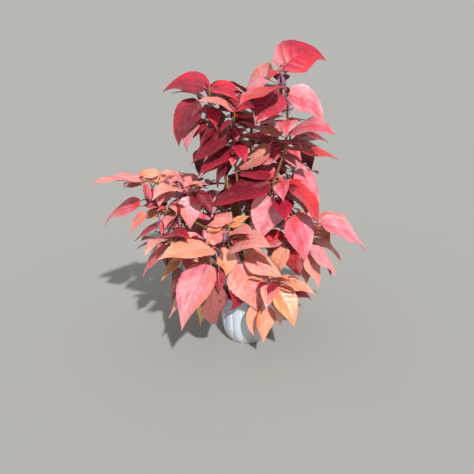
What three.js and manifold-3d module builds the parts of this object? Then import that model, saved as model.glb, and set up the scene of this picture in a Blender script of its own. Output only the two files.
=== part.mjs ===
// Potted copperleaf: a leafy shrub of about 0.8 m, with large red, pink and orange leaves,
// in a small fluted pot.
// Sizes are in millimetres. Z is up, the pot stands on z = 0 and its axis is the Z axis.
// An azimuth of 0 points along +X, 90 along +Y and 180 along -X; the side towards the viewer is -Y.
import * as THREE from 'three';
import Module from 'manifold-3d';

const wasm = await Module();
wasm.setup();

// Driving sizes
const POT_HEIGHT = 140;
const RIM_RADIUS = 75;
const FOOT_RADIUS = 50;
const FOOT_ROUNDING = 5;
const LIP = 3;
const WALL = 2.4;
const GAP = 0.35;
const SOIL_LEVEL = 122;
const FORK_HEIGHT = 192;
const TRUNK_FOOT_RADIUS = 10;
const FORK_RADIUS = 9;
const STEM_FOOT_RADIUS = 2.6;
const STEM_TIP_RADIUS = 1.9;
const PETIOLE_RADIUS = 1.3;
const FAT = 0.7;
const SEED = 7;

// Boughs: name, parent, place along the parent from 0 to 1, then the tip's azimuth, reach from the pot's
// axis and height, the share of its climb that a bough makes in its first part, and its radius at the foot.
const BOUGHS = [
  ['crown_right', 'trunk', 0.96, 0, 84, 500, 0.45, 6.5],
  ['crown_left', 'trunk', 0.93, 162, 88, 552, 0.5, 6],
  ['back_centre', 'trunk', 0.9, 85, 110, 500, 0.5, 5.5],
  ['middle', 'trunk', 0.9, 95, 38, 400, 0.5, 5],
  ['crown_centre', 'trunk', 0.98, 190, 32, 490, 0.5, 4.5],
  ['left_branch', 'crown_left', 0.3, 196, 156, 432, 0.8, 4.5],
  ['left_middle', 'crown_left', 0.12, 200, 176, 372, 0.6, 4],
  ['left_low', 'trunk', 0.5, 208, 170, 285, 0.4, 4.5],
  ['right_side', 'crown_right', 0.3, 331, 82, 396, 0.5, 4],
  ['right_low', 'trunk', 0.55, 341, 129, 300, 0.5, 4.5],
  ['front_centre', 'middle', 0.12, 245, 99, 290, 0.5, 4],
  ['front_left', 'trunk', 0.6, 232, 120, 270, 0.5, 4.5],
  ['front_right', 'trunk', 0.45, 300, 106, 192, 0.5, 4.5],
  ['back_right', 'back_centre', 0.2, 48, 149, 370, 0.6, 4],
  ['back_left', 'back_centre', 0.1, 135, 156, 330, 0.6, 4],
  ['low_back', 'trunk', 0.5, 99, 132, 260, 0.4, 4.5],
  ['low_back_right', 'trunk', 0.42, 33, 166, 240, 0.4, 4.5],
  ['low_back_left', 'trunk', 0.42, 147, 166, 240, 0.4, 4.5],
];

// Shoots: each goes on from the tip of its bough. Azimuth, rise and length of its stem, then what the
// seeded rule adds: number of leaves, arc of azimuths, rise of the lowest and highest, and their lengths.
const SHOOTS = [
  ['front_left', [248, 59, 52], [4, 100, 200, -15, 45, 130, 100]],
  ['front_centre', [231, 85, 76], [5, 10, 170, -15, 45, 120, 90]],
  ['front_right', [294, 45, 34], [4, 30, 110, -25, 25, 105, 85]],
  ['right_side', [0, 85, 68], [6, -10, 100, -15, 45, 120, 100]],
  ['right_low', [354, 66, 56], [7, 20, 130, -25, 35, 125, 95]],
  ['crown_right', [180, 87, 230], [9, 45, 155, -15, 30, 125, 95]],
  ['crown_left', [180, 85, 129], [7, 10, 170, -25, 10, 125, 90]],
  ['crown_centre', [180, 89, 134], [4, 60, 150, -15, 30, 110, 85]],
  ['left_branch', [195, 19, 123], [6, 10, 150, -25, 5, 110, 85]],
  ['left_middle', [189, 26, 69], [5, 30, 170, -25, 15, 110, 90]],
  ['left_low', [196, 36, 75], [6, 60, 180, -25, 30, 115, 90]],
  ['middle', [236, 85, 78], [8, 0, 180, -15, 45, 105, 80]],
  ['back_centre', [45, 87, 150], [18, 0, 360, -25, 50, 130, 85]],
  ['back_right', [39, 69, 107], [15, 30, 315, -25, 50, 125, 90]],
  ['back_left', [145, 64, 89], [16, 0, 360, -25, 35, 130, 90]],
  ['low_back', [101, 71, 95], [13, 0, 360, -30, 40, 140, 100]],
  ['low_back_right', [19, 59, 82], [15, 0, 360, -30, 40, 130, 90]],
  ['low_back_left', [161, 57, 78], [15, 0, 360, -30, 40, 130, 90]],
];

// Leaves whose places are known: place along the shoot, azimuth, rise, blade length, roll, droop,
// width and petiole as shares of the length. The last four may be left out.
const LEAVES = {
  'crown_right': [
    [0.95, 32, 51, 156, 46, 90, 0.64, 0.06], [0.74, 358, -8, 121, 47, 63, 0.65, 0.07],
    [0.03, 7, -45, 133, 46, 25, 0.64, 0.38], [0.31, 314, 32, 151, 20, 52, 0.65, 0.06],
    [0.21, 15, -12, 144, 16, 15, 0.65, 0.12], [0.83, 234, -30, 118, -37, 15, 0.7, 0.21],
    [0.17, 156, -23, 129, -35, 15, 0.64, 0.29], [0.8, 125, 15, 114, -59, 64, 0.74, 0.5],
    [0.26, 148, 23, 97, -9, 29, 0.64, 0.15], [0.1, 154, -18, 94, -34, 18, 0.65, 0.06],
    [0.06, 359, -18, 80, 21, 29, 0.64, 0.07], [0.83, 239, -1, 168, 5, 15, 0.53, 0.25], [0.97, 244, 7, 49],
    [0.39, 47, 28, 68], [0.17, 310, -1, 60], [0.22, 190, 0, 50], [0.5, 217, 13, 83], [0.46, 265, 8, 87],
    [0.23, 28, 9, 108, 14, 41, 0.64, 0.32], [0.85, 78, -25, 64, 23, 56, 0.64, 0.21],
    [0.96, 82, -16, 73, 4, 26, 0.64, 0.32],
  ],
  'crown_left': [
    [0.94, 171, 33, 126, -33, 77, 0.64, 0.06], [0.81, 195, -28, 132, -37, 63, 0.64, 0.2],
    [0.49, 209, -30, 85, -3, 67, 0.63, 0.49], [0.3, 228, -40, 68, -1, 24, 0.64, 0.06],
    [0.95, 345, 6, 80, 14, 52, 0.64, 0.06], [0.36, 194, -21, 87, -20, 40], [0.66, 297, -40, 57],
    [0.43, 96, 3, 55], [0.5, 14, 27, 113, 25, 61, 0.64, 0.23], [0.79, 82, -35, 106, 22, 56, 0.64, 0.38],
    [0.6, 76, 30, 115, 29, 42, 0.64, 0.3], [0.03, 132, -37, 108, -8, 64, 0.64, 0.31],
  ],
  'crown_centre': [
    [0.67, 186, -31, 128, -26, 15, 0.64, 0.08], [0.34, 185, -26, 110, -25, 21, 0.65, 0.07],
    [1, 204, 42, 99, -19, 47, 0.64, 0.06], [0.13, 180, -13, 86, -12, 39, 0.63, 0.22], [0.88, 215, -15, 48],
    [0.8, 330, 15, 50], [0.7, 10, 0, 45], [0.24, 262, -10, 44], [0.75, 280, -20, 45], [0.42, 298, -10, 66],
    [0.14, 76, 50, 67], [0.16, 179, -42, 73, -25, 55, 0.64, 0.38], [0.57, 43, -4, 106, -20, 34, 0.64, 0.38],
    [0.65, 68, 24, 112, 32, 30, 0.64, 0.26], [0.12, 104, -14, 99, -13, 60, 0.64, 0.4],
  ],
  'left_branch': [
    [0.03, 289, -56, 90, 6, 50, 0.66, 0.13], [0.69, 206, 16, 130, -1, 26, 0.61, 0.28],
    [0.81, 168, -9, 66, -18, 17, 0.64, 0.2], [0.03, 142, 22, 104, -22, 76, 0.64, 0.36],
    [0.41, 141, 19, 85, -11, 53, 0.64, 0.29], [0.03, 242, 60, 64, -48, 68, 0.55, 0.33],
    [0.99, 336, -59, 48, -1, 22, 0.64, 0.27], [0.03, 229, 29, 106, -7, 66, 0.59, 0.22], [0.85, 14, -60, 44],
    [0.11, 71, 50, 51], [0.57, 264, -28, 57], [0.09, 20, 27, 63], [0.06, 329, -6, 82, 15, 66, 0.62, 0.24],
    [0.1, 112, -44, 110, -21, 40, 0.64, 0.29],
  ],
  'left_middle': [
    [1, 163, -4, 128, -19, 52, 0.65, 0.38], [0.44, 158, -9, 83, -21, 15, 0.65, 0.24],
    [0.07, 171, -25, 99, -6, 15, 0.64, 0.5], [1, 183, -34, 68, -28, 33, 0.65, 0.5],
    [0.29, 250, 8, 68, 18, 51, 0.64, 0.06], [0.3, 230, -20, 64], [0.05, 192, -40, 78], [0.39, 96, -28, 78],
    [0.62, 133, 28, 89, -23, 26, 0.64, 0.24],
  ],
  'left_low': [
    [0.93, 243, 21, 92, 12, 62, 0.61, 0.06], [0.72, 191, -41, 83, -7, 22, 0.64, 0.44],
    [1, 320, 38, 90, 11, 60, 0.64, 0.14], [0.03, 210, -64, 94, 1, 15, 0.65, 0.5],
    [0.03, 207, -35, 75, 1, 15, 0.64, 0.37], [0.68, 332, -27, 83], [0.36, 136, -31, 89],
    [0.24, 132, -43, 85], [0.79, 141, -2, 83, 19, 29, 0.64, 0.39],
  ],
  'right_side': [
    [0.83, 206, -60, 119, -53, 30, 0.74, 0.3], [0.58, 338, -59, 133, 40, 31, 0.69, 0.5],
    [1, 344, -24, 159, 5, 62, 0.65, 0.14], [0.43, 278, -21, 79, -2, 15, 0.65, 0.2],
    [0.88, 149, 14, 118, -7, 36, 0.61, 0.27], [0.95, 189, -10, 175, -15, 23, 0.64, 0.12],
    [0.97, 276, -6, 70, 30],
  ],
  'right_low': [
    [1, 7, -8, 161, 17, 51, 0.65, 0.27], [0.07, 358, -53, 118, 33, 32, 0.65, 0.33],
    [0.03, 358, -31, 111, 19, 28, 0.64, 0.39], [0.53, 225, -65, 99, 6, 90, 0.65, 0.5],
    [0.19, 207, -33, 97, -12, 87, 0.58, 0.37], [0.04, 37, 10, 65], [0.7, 48, 13, 65], [0.04, 69, 22, 74],
    [0.36, 179, -6, 105, -23, 29, 0.64, 0.36],
  ],
  'front_centre': [
    [0.33, 317, 35, 138, 25, 44, 0.65, 0.06], [0.83, 166, -23, 65, -70, 40, 0.71, 0.29],
    [0.92, 165, -2, 53, -29, 41, 0.65, 0.32], [0.88, 38, 35, 67, 1, 35, 0.64, 0.06],
    [0.07, 341, -58, 150, 49, 15, 0.73, 0.24], [0.07, 360, -24, 121, 35, 15, 0.65, 0.3],
    [0.97, 157, 8, 63, -20], [0.4, 288, -58, 69], [0.73, 312, 38, 85, 20, 50], [0.59, 73, -9, 79],
    [0.79, 121, -50, 89, 28, 28, 0.64, 0.37], [0.64, 93, 25, 92, -9, 57, 0.64, 0.15],
  ],
  'front_left': [
    [1, 239, -40, 175, 8, 16, 0.65, 0.28], [0.95, 220, 12, 158, -9, 16, 0.64, 0.06],
    [1, 345, -38, 71, 70, 90, 0.74, 0.31], [0.03, 256, -55, 136, -54, 78, 0.63, 0.46],
    [0.13, 139, -64, 175, -63, 22, 0.7, 0.32], [0.24, 208, -38, 159, 10, 18, 0.64, 0.23],
    [0.13, 346, -50, 117, 44, 90, 0.51, 0.5], [0.14, 183, -39, 110],
    [0.21, 277, -50, 66, -24, 21, 0.64, 0.4],
  ],
  'front_right': [
    [1, 308, -33, 102, 14, 43, 0.65, 0.27], [0.77, 0, 7, 116, 9, 43, 0.64, 0.06],
    [0.33, 246, -65, 101, -60, 22, 0.62, 0.5], [0.05, 211, -53, 101, -67, 60, 0.4, 0.5],
    [0.3, 319, -53, 103, -10, 45], [0.97, 295, 50, 76], [0.92, 256, -6, 76],
    [0.56, 19, -7, 106, 34, 51, 0.64, 0.28],
  ],
  'middle': [
    [0.09, 285, -32, 59, -28, 15, 0.64, 0.27], [0.18, 20, -12, 71, 41, 31, 0.65, 0.37],
    [0.13, 157, -29, 118, -30, 15, 0.65, 0.07], [0.89, 120, -13, 93, -20, 45], [0.83, 351, 9, 99, 20, 45],
    [0.72, 293, -30, 103], [0.29, 302, -19, 91], [0.14, 333, -60, 104], [0.39, 154, -14, 106],
    [0.59, 171, -9, 71, -26, 48, 0.64, 0.11], [0.23, 106, -44, 108, -32, 22, 0.64, 0.36],
  ],
};

// Drooping flower spikes that hang from a shoot
const CATKINS_PER_SHOOT = 1;
const CATKIN_SIDES = 3;
const CATKIN_LENGTHS = [40, 70];

// Shape of a leaf that has no values of its own
const USUAL_DROOP = 50;
const USUAL_WIDTH = 0.64;
const USUAL_PETIOLE = 0.15;
const FILLER_PETIOLE = 0.22;
const BLADE_STATIONS = [0.1, 0.31, 0.56, 0.8];
const FILLER_STATIONS = [0.13, 0.4, 0.72];
const OUTLINE_BASE = 0.55;
const OUTLINE_TIP = 1.4;
const TRIES = 14;
const GOLDEN_ANGLE = 137.5;

// Small helpers for points, which are plain arrays of three numbers
const radians = (degrees) => degrees * Math.PI / 180;
const plus = (a, b) => [a[0] + b[0], a[1] + b[1], a[2] + b[2]];
const minus = (a, b) => [a[0] - b[0], a[1] - b[1], a[2] - b[2]];
const times = (a, k) => [a[0] * k, a[1] * k, a[2] * k];
const dot = (a, b) => a[0] * b[0] + a[1] * b[1] + a[2] * b[2];
const cross = (a, b) => [a[1] * b[2] - a[2] * b[1], a[2] * b[0] - a[0] * b[2], a[0] * b[1] - a[1] * b[0]];
const unit = (a) => times(a, 1 / Math.sqrt(dot(a, a)));
const mix = (a, b, t) => a + (b - a) * t;

function heading(azimuth, rise) {
  const flat = Math.cos(radians(rise));
  return [flat * Math.cos(radians(azimuth)), flat * Math.sin(radians(azimuth)), Math.sin(radians(rise))];
}

function bend(start, via, end, t) {
  return plus(plus(times(start, (1 - t) ** 2), times(via, 2 * t * (1 - t))), times(end, t ** 2));
}

// A small seeded generator, so that the plant grows the same way each time
function dice(seed) {
  let state = seed >>> 0;
  return () => {
    state = (state + 0x6D2B79F5) >>> 0;
    let t = Math.imul(state ^ (state >>> 15), state | 1);
    t ^= t + Math.imul(t ^ (t >>> 7), t | 61);
    return ((t ^ (t >>> 14)) >>> 0) / 4294967296;
  };
}

// Rings of equal count joined into an open skin, from the first ring to the last
function skirt(rings) {
  const sides = rings[0].length;
  const faces = [];
  for (let row = 0; row + 1 < rings.length; row += 1) {
    for (let side = 0; side < sides; side += 1) {
      const here = row * sides + side;
      const next = row * sides + (side + 1) % sides;
      faces.push([here, next, next + sides], [here, next + sides, here + sides]);
    }
  }
  for (let side = 1; side + 1 < sides; side += 1) faces.push([0, side + 1, side]);
  return faces;
}

// The skin closed by a flat lid, or drawn together into a point
function loft(rings) {
  const sides = rings[0].length;
  const last = (rings.length - 1) * sides;
  const lid = Array.from({ length: sides - 2 }, (_, side) => [last, last + side + 1, last + side + 2]);
  return { points: rings.flat(), faces: [...skirt(rings), ...lid] };
}

function loftToPoint(rings, point) {
  const sides = rings[0].length;
  const last = (rings.length - 1) * sides;
  const end = rings[0].map((_, side) => [last + side, last + (side + 1) % sides, last + sides]);
  return { points: [...rings.flat(), point], faces: [...skirt(rings), ...end] };
}

function tube(path, radii, sides) {
  const span = minus(path[path.length - 1], path[0]);
  const steep = Math.abs(span[2]) > 0.5 * Math.sqrt(dot(span, span));
  const reference = steep ? [0, 1, 0] : [0, 0, 1];
  return loft(path.map((point, row) => {
    const before = path[Math.max(row - 1, 0)];
    const after = path[Math.min(row + 1, path.length - 1)];
    const along = unit(minus(after, before));
    const across = unit(cross(along, reference));
    const up = cross(across, along);
    return Array.from({ length: sides }, (_, side) => {
      const angle = -2 * Math.PI * side / sides;
      const offset = plus(times(across, Math.cos(angle)), times(up, Math.sin(angle)));
      return plus(point, times(offset, radii[row]));
    });
  }));
}

// Half the width of a blade as a share of the widest place: rounded foot, long drawn-out point
function outline(t) {
  const peak = OUTLINE_BASE / (OUTLINE_BASE + OUTLINE_TIP);
  const top = peak ** OUTLINE_BASE * (1 - peak) ** OUTLINE_TIP;
  return t <= 0 || t >= 1 ? 0 : t ** OUTLINE_BASE * (1 - t) ** OUTLINE_TIP / top;
}

// A leaf's midrib starts along its petiole and droops in an arc. At t along it this gives the midrib's
// point, the direction across the blade and the direction out of its upper face.
function midrib(leaf, t) {
  const rise = radians(leaf.rise);
  const droop = radians(Math.max(leaf.droop, 0.001));
  const level = heading(leaf.azimuth, 0);
  const flatSide = [-level[1], level[0], 0];
  const slope = rise - droop * t;
  const reach = leaf.length / droop * (Math.sin(rise) - Math.sin(slope));
  const lift = leaf.length / droop * (Math.cos(slope) - Math.cos(rise));
  const point = plus(plus(leaf.base, times(level, reach)), [0, 0, lift]);
  const flatNormal = plus([0, 0, Math.cos(slope)], times(level, -Math.sin(slope)));
  const roll = radians(leaf.roll);
  const side = plus(times(flatSide, Math.cos(roll)), times(flatNormal, Math.sin(roll)));
  const normal = minus(times(flatNormal, Math.cos(roll)), times(flatSide, Math.sin(roll)));
  return { point, side, normal };
}

// A blade's section is a flat wedge: its margins are sharp and its midrib stands out below
function bladeRing(leaf, t, depth, growth) {
  const { point, side, normal } = midrib(leaf, t);
  const half = leaf.length * leaf.width / 2 * outline(t) * growth;
  const face = plus(point, times(normal, depth / 2));
  const across = times(side, half);
  return [plus(face, across), minus(face, across), minus(point, times(normal, depth / 2))];
}

function petioleRing(leaf, point) {
  const { side, normal } = midrib(leaf, 0);
  const face = plus(point, times(normal, PETIOLE_RADIUS / 2));
  const across = times(side, 0.87 * PETIOLE_RADIUS);
  return [plus(face, across), minus(face, across), minus(point, times(normal, PETIOLE_RADIUS))];
}

function bladeDepth(leaf) {
  return Math.max(leaf.length / 45, 1.6);
}

// The whole leaf: a three-sided petiole that opens into the blade
function wholeLeaf(leaf) {
  const rings = leaf.stations.map((t) => bladeRing(leaf, t, bladeDepth(leaf), 1));
  const petiole = [petioleRing(leaf, leaf.start), petioleRing(leaf, leaf.base)];
  return loftToPoint([...petiole, ...rings], midrib(leaf, 1).point);
}

// The same blade a little fatter, for the crossing test
function fatBlade(leaf) {
  const rings = leaf.stations.map((t) => bladeRing(leaf, t, bladeDepth(leaf) + FAT, 1.03));
  return loftToPoint([petioleRing(leaf, leaf.base), ...rings], midrib(leaf, 1).point);
}

// Crossing test: two skins cross where an edge of one runs through a face of the other
function skin(shape, owner, kind) {
  const edges = new Map();
  for (const [a, b, c] of shape.faces) {
    for (const [p, q] of [[a, b], [b, c], [c, a]]) {
      edges.set(`${Math.min(p, q)} ${Math.max(p, q)}`, [p, q]);
    }
  }
  const low = [0, 1, 2].map((axis) => Math.min(...shape.points.map((point) => point[axis])));
  const high = [0, 1, 2].map((axis) => Math.max(...shape.points.map((point) => point[axis])));
  return { ...shape, owner, kind, low, high, edges: [...edges.values()] };
}

function pierces(a, b) {
  return a.edges.some(([start, end]) => {
    const from = a.points[start];
    const ray = minus(a.points[end], from);
    return b.faces.some(([i, j, k]) => {
      const first = minus(b.points[j], b.points[i]);
      const second = minus(b.points[k], b.points[i]);
      const h = cross(ray, second);
      const scale = dot(first, h);
      if (Math.abs(scale) < 1e-9) return false;
      const s = minus(from, b.points[i]);
      const u = dot(s, h) / scale;
      if (u < 0 || u > 1) return false;
      const q = cross(s, first);
      const v = dot(ray, q) / scale;
      if (v < 0 || u + v > 1) return false;
      const t = dot(second, q) / scale;
      return t >= 0 && t <= 1;
    });
  });
}

function crosses(a, b) {
  for (let axis = 0; axis < 3; axis += 1) {
    if (a.low[axis] > b.high[axis] || b.low[axis] > a.high[axis]) return false;
  }
  return pierces(a, b) || pierces(b, a);
}

// Limbs: the trunk, the boughs and the stems of the shoots, each a path with a radius at every point
const LIMB_STEPS = 4;
const limbs = {};

const shares = Array.from({ length: LIMB_STEPS + 1 }, (_, step) => step / LIMB_STEPS);
const trunkTop = [-3, 0, FORK_HEIGHT];
limbs.trunk = {
  path: shares.map((t) => bend([0, 0, SOIL_LEVEL], [2, 0, mix(SOIL_LEVEL, FORK_HEIGHT, 0.5)], trunkTop, t)),
  radii: shares.map((t) => mix(TRUNK_FOOT_RADIUS, FORK_RADIUS, t)),
};

function pointAlong(limb, t) {
  const place = t * (limb.path.length - 1);
  const step = Math.min(Math.floor(place), limb.path.length - 2);
  const a = limb.path[step];
  const b = limb.path[step + 1];
  return plus(a, times(minus(b, a), place - step));
}

for (const [name, parent, at, azimuth, reach, height, climb, radius] of BOUGHS) {
  const aside = parent === 'trunk' ? 0.5 * FORK_RADIUS : 0;
  const foot = plus(pointAlong(limbs[parent], at), times(heading(azimuth, 0), aside));
  const tip = plus(times(heading(azimuth, 0), reach), [0, 0, height]);
  const via = [mix(foot[0], tip[0], 0.36), mix(foot[1], tip[1], 0.36), mix(foot[2], tip[2], climb)];
  limbs[name] = {
    path: shares.map((t) => bend(foot, via, tip, t)),
    radii: shares.map((t) => mix(radius, STEM_FOOT_RADIUS + 0.6, t)),
  };
}

const STEM_SIDES = 3;
const STEM_STEPS = 3;
const stemShares = Array.from({ length: STEM_STEPS + 1 }, (_, step) => step / STEM_STEPS);
const shoots = SHOOTS.map(([name, [azimuth, rise, length], filler]) => {
  const bough = limbs[name].path;
  const start = bough[bough.length - 1];
  const end = plus(start, times(heading(azimuth, rise), length));
  const lead = unit(minus(start, bough[bough.length - 2]));
  const via = plus(start, times(lead, length / 2));
  return {
    name,
    filler,
    path: stemShares.map((t) => bend(start, via, end, t)),
    radii: stemShares.map((t) => mix(STEM_FOOT_RADIUS, STEM_TIP_RADIUS, t)),
    leaves: [],
    catkins: [],
  };
});

// Growing: every leaf is tried at its own heading and then at wider and wider seeded turns about it,
// and is left out if it would cross a limb, the pot or anything that has already grown.
const fatTube = (limb, sides, name, kind) => (
  skin(tube(limb.path, limb.radii.map((radius) => radius + FAT), sides), name, kind)
);
const roll = dice(SEED);
const between = (low, high) => mix(low, high, roll());
const obstacles = Object.entries(limbs).map(([name, limb]) => fatTube(limb, 5, `bough ${name}`, 'limb'));
shoots.forEach((shoot) => obstacles.push(fatTube(shoot, 4, shoot.name, 'stem')));
const wallRadius = (z) => mix(FOOT_RADIUS, RIM_RADIUS - LIP, 1 - (1 - z / POT_HEIGHT) ** FOOT_ROUNDING);
const wallHeights = [10, 36];
const potWall = {
  path: [0, ...wallHeights, POT_HEIGHT].map((z) => [0, 0, z]),
  radii: [FOOT_RADIUS, ...wallHeights.map(wallRadius), RIM_RADIUS],
};
obstacles.push(fatTube(potWall, 24, 'pot', 'limb'));

function leafAt(shoot, along, azimuth, rise, length, turn, droop, width, petiole, stations) {
  const start = pointAlong(shoot, along);
  const base = plus(start, times(heading(azimuth, rise), petiole * length));
  return { start, base, azimuth, rise, length, roll: turn, droop, width, stations };
}

function grows(shoot, leaf) {
  const face = skin(fatBlade(leaf), shoot.name, 'blade');
  const stalk = minus(leaf.base, leaf.start);
  const clear = Math.min((STEM_FOOT_RADIUS + FAT + 1) / Math.sqrt(dot(stalk, stalk)), 0.8);
  const petioleLimb = {
    path: [plus(leaf.start, times(stalk, clear)), leaf.base],
    radii: [PETIOLE_RADIUS, PETIOLE_RADIUS],
  };
  const petiole = fatTube(petioleLimb, 3, shoot.name, 'petiole');
  const blocked = obstacles.some((other) => {
    const own = other.owner === shoot.name;
    const petioleMinds = !own || other.kind === 'blade' || other.kind === 'catkin';
    return crosses(face, other) || (petioleMinds && crosses(petiole, other));
  });
  if (blocked || face.low[2] < 2) return false;
  obstacles.push(face, petiole);
  shoot.leaves.push(leaf);
  return true;
}

function growLeaf(shoot, wish, known) {
  const [along, azimuth, rise, length, turn = 0, droop = USUAL_DROOP, width = USUAL_WIDTH] = wish;
  const petiole = wish[7] ?? (known ? USUAL_PETIOLE : FILLER_PETIOLE);
  const stations = known ? BLADE_STATIONS : FILLER_STATIONS;
  for (let attempt = 0; attempt < TRIES; attempt += 1) {
    const spread = attempt === 0 ? 0 : 4 + 4 * attempt;
    const [a, b, c, d] = [between(-1, 1), between(-1, 1), between(-1, 1), between(-1, 1)];
    const ownTurn = known ? turn : 20 * c;
    const size = length * (1 - 0.02 * attempt);
    const leaf = leafAt(shoot, along, azimuth + spread * a, rise + 0.7 * spread * b, size,
      ownTurn + 0.5 * spread * c, droop + 0.5 * spread * d, width, petiole, stations);
    if (grows(shoot, leaf)) return;
  }
}

function catkinPath(shoot, along, azimuth, length) {
  const start = pointAlong(shoot, along);
  const out = heading(azimuth, 0);
  const shoulder = plus(start, plus(times(out, 0.28 * length), [0, 0, 0.18 * length]));
  const end = plus(start, plus(times(out, 0.42 * length), [0, 0, -0.85 * length]));
  return [0, 0.3, 0.6, 1].map((t) => bend(start, shoulder, end, t));
}

const CATKIN_RADII = [1.2, 2.6, 2.8, 1.2];
function growCatkin(shoot) {
  for (let attempt = 0; attempt < TRIES; attempt += 1) {
    const path = catkinPath(shoot, between(0.25, 0.95), between(0, 360), between(...CATKIN_LENGTHS));
    const fat = { path: [bend(path[0], path[0], path[1], 0.8), ...path.slice(1)], radii: CATKIN_RADII };
    const spike = fatTube(fat, 4, shoot.name, 'catkin');
    const blocked = obstacles.some((other) => crosses(spike, other));
    if (!blocked && spike.low[2] > 2) {
      obstacles.push(spike);
      shoot.catkins.push({ path, radii: CATKIN_RADII });
      return;
    }
  }
}

for (const shoot of shoots) {
  for (const wish of LEAVES[shoot.name] ?? []) growLeaf(shoot, wish, true);
}
for (const shoot of shoots) {
  const [count, arcFrom, arcTo, riseLow, riseHigh, lengthLow, lengthHigh] = shoot.filler;
  for (let number = 0; number < count; number += 1) {
    const share = (number + 0.5) / count;
    const azimuth = mix(arcFrom, arcTo, (GOLDEN_ANGLE * number) % 360 / 360);
    const [rise, length] = [mix(riseLow, riseHigh, share), mix(lengthLow, lengthHigh, share)];
    growLeaf(shoot, [0.1 + 0.85 * share, azimuth, rise, length], false);
  }
}
for (const shoot of shoots) {
  for (let number = 0; number < CATKINS_PER_SHOOT; number += 1) growCatkin(shoot);
}

// Solids
function solid({ points, faces }) {
  return new wasm.Manifold(new wasm.Mesh({
    numProp: 3,
    vertProperties: new Float32Array(points.flat()),
    triVerts: new Uint32Array(faces.flat()),
  }));
}

function biggest(shape) {
  const pieces = shape.decompose();
  return pieces.reduce((best, piece) => (piece.volume() > best.volume() ? piece : best));
}

const union = (shapes) => shapes.reduce((sum, shape) => sum.add(shape));

// A limb grown by the gap all over, which is cut out of whatever starts inside it
function clearance(limb, sides) {
  const path = [...limb.path];
  const last = path.length - 1;
  path[0] = minus(path[0], times(unit(minus(path[1], path[0])), GAP));
  path[last] = plus(path[last], times(unit(minus(path[last], path[last - 1])), GAP));
  const grown = GAP / Math.cos(Math.PI / sides);
  return solid(tube(path, limb.radii.map((radius) => radius + grown), sides));
}

const group = new THREE.Group();
group.name = 'potted_copperleaf';

function addNode(name, shape, colour, roughness) {
  const mesh = shape.getMesh();
  const geometry = new THREE.BufferGeometry();
  geometry.setAttribute('position', new THREE.BufferAttribute(new Float32Array(mesh.vertProperties), 3));
  geometry.setIndex(new THREE.BufferAttribute(new Uint32Array(mesh.triVerts), 1));
  geometry.computeVertexNormals();
  const material = new THREE.MeshStandardMaterial({ color: colour, roughness, metalness: 0 });
  const node = new THREE.Mesh(geometry, material);
  node.name = name;
  group.add(node);
}

// Pot: a shell that rounds in towards its foot, with round flutes below a plain band, and four drain holes
const FLUTES = 15;
const FLUTE_TURN = 6;
const FLUTE_STEPS = 3;
const FLUTE_DEPTH = 1.6;
const BAND_HEIGHT = 26;
const FLOOR = 3;
const potSides = FLUTES * FLUTE_STEPS;

function ring(radiusAt, z, sides) {
  return Array.from({ length: sides }, (_, side) => {
    const turn = 2 * Math.PI * side / sides;
    const radius = radiusAt(turn);
    const angle = turn - radians(FLUTE_TURN);
    return [radius * Math.cos(angle), radius * Math.sin(angle), z];
  });
}

const fluted = (z, depth) => (turn) => wallRadius(z) - depth * (1 - Math.abs(Math.sin(turn * FLUTES / 2)));
const bandFoot = POT_HEIGHT - BAND_HEIGHT;
const outerRings = [
  ring(fluted(0, 0), 0, potSides),
  ...[...wallHeights, bandFoot - 8].map((z) => ring(fluted(z, FLUTE_DEPTH), z, potSides)),
  ring(fluted(bandFoot - 3, 0), bandFoot - 3, potSides),
  ring(() => wallRadius(bandFoot) + 1.6, bandFoot, potSides),
  ring(() => RIM_RADIUS - 1.2, POT_HEIGHT - 7, potSides),
  ring(() => RIM_RADIUS, POT_HEIGHT - 5, potSides),
  ring(() => RIM_RADIUS, POT_HEIGHT, potSides),
];
const SOIL_SHOULDER = SOIL_LEVEL - 8;
const innerRadius = (z) => wallRadius(z) - FLUTE_DEPTH - WALL;
const cavity = solid(loft([
  ...[FLOOR, ...wallHeights, SOIL_SHOULDER].map((z) => ring(() => innerRadius(z), z, potSides)),
  ring(() => innerRadius(POT_HEIGHT) + 0.1, POT_HEIGHT + 0.1, potSides),
]));
const DRAIN_HOLES = 4;
const DRAIN_RADIUS = 5;
const drains = Array.from({ length: DRAIN_HOLES }, (_, number) => {
  const centre = times(heading(45 + 360 * number / DRAIN_HOLES, 0), 0.62 * FOOT_RADIUS);
  const path = [plus(centre, [0, 0, -1]), plus(centre, [0, 0, FLOOR + 1])];
  return solid(tube(path, [DRAIN_RADIUS, DRAIN_RADIUS], 12));
});
const pot = solid(loft(outerRings)).subtract(cavity).subtract(union(drains));
addNode('pot', pot, 0xb9c8d6, 0.45);

// Soil: fills the pot, level where the trunk stands and crumbly towards the wall
const SOIL_SIDES = 24;
const crumbs = dice(SEED + 4);
const soilRing = (share, spread) => {
  const radius = share * (innerRadius(SOIL_LEVEL) - 1.2);
  return ring(() => radius, SOIL_LEVEL - GAP, SOIL_SIDES).map(([x, y, z]) => [x, y, z - spread * crumbs()]);
};
const soil = solid(loft([
  ring(() => innerRadius(FLOOR) - GAP, FLOOR + GAP, SOIL_SIDES),
  ...[...wallHeights, SOIL_SHOULDER].map((z) => ring(() => innerRadius(z) - GAP, z, SOIL_SIDES)),
  soilRing(1, 5),
  soilRing(0.82, 4),
  soilRing(0.6, 3),
  soilRing(0.36, 0),
]));
addNode('soil', soil, 0x4a3528, 0.95);

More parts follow.
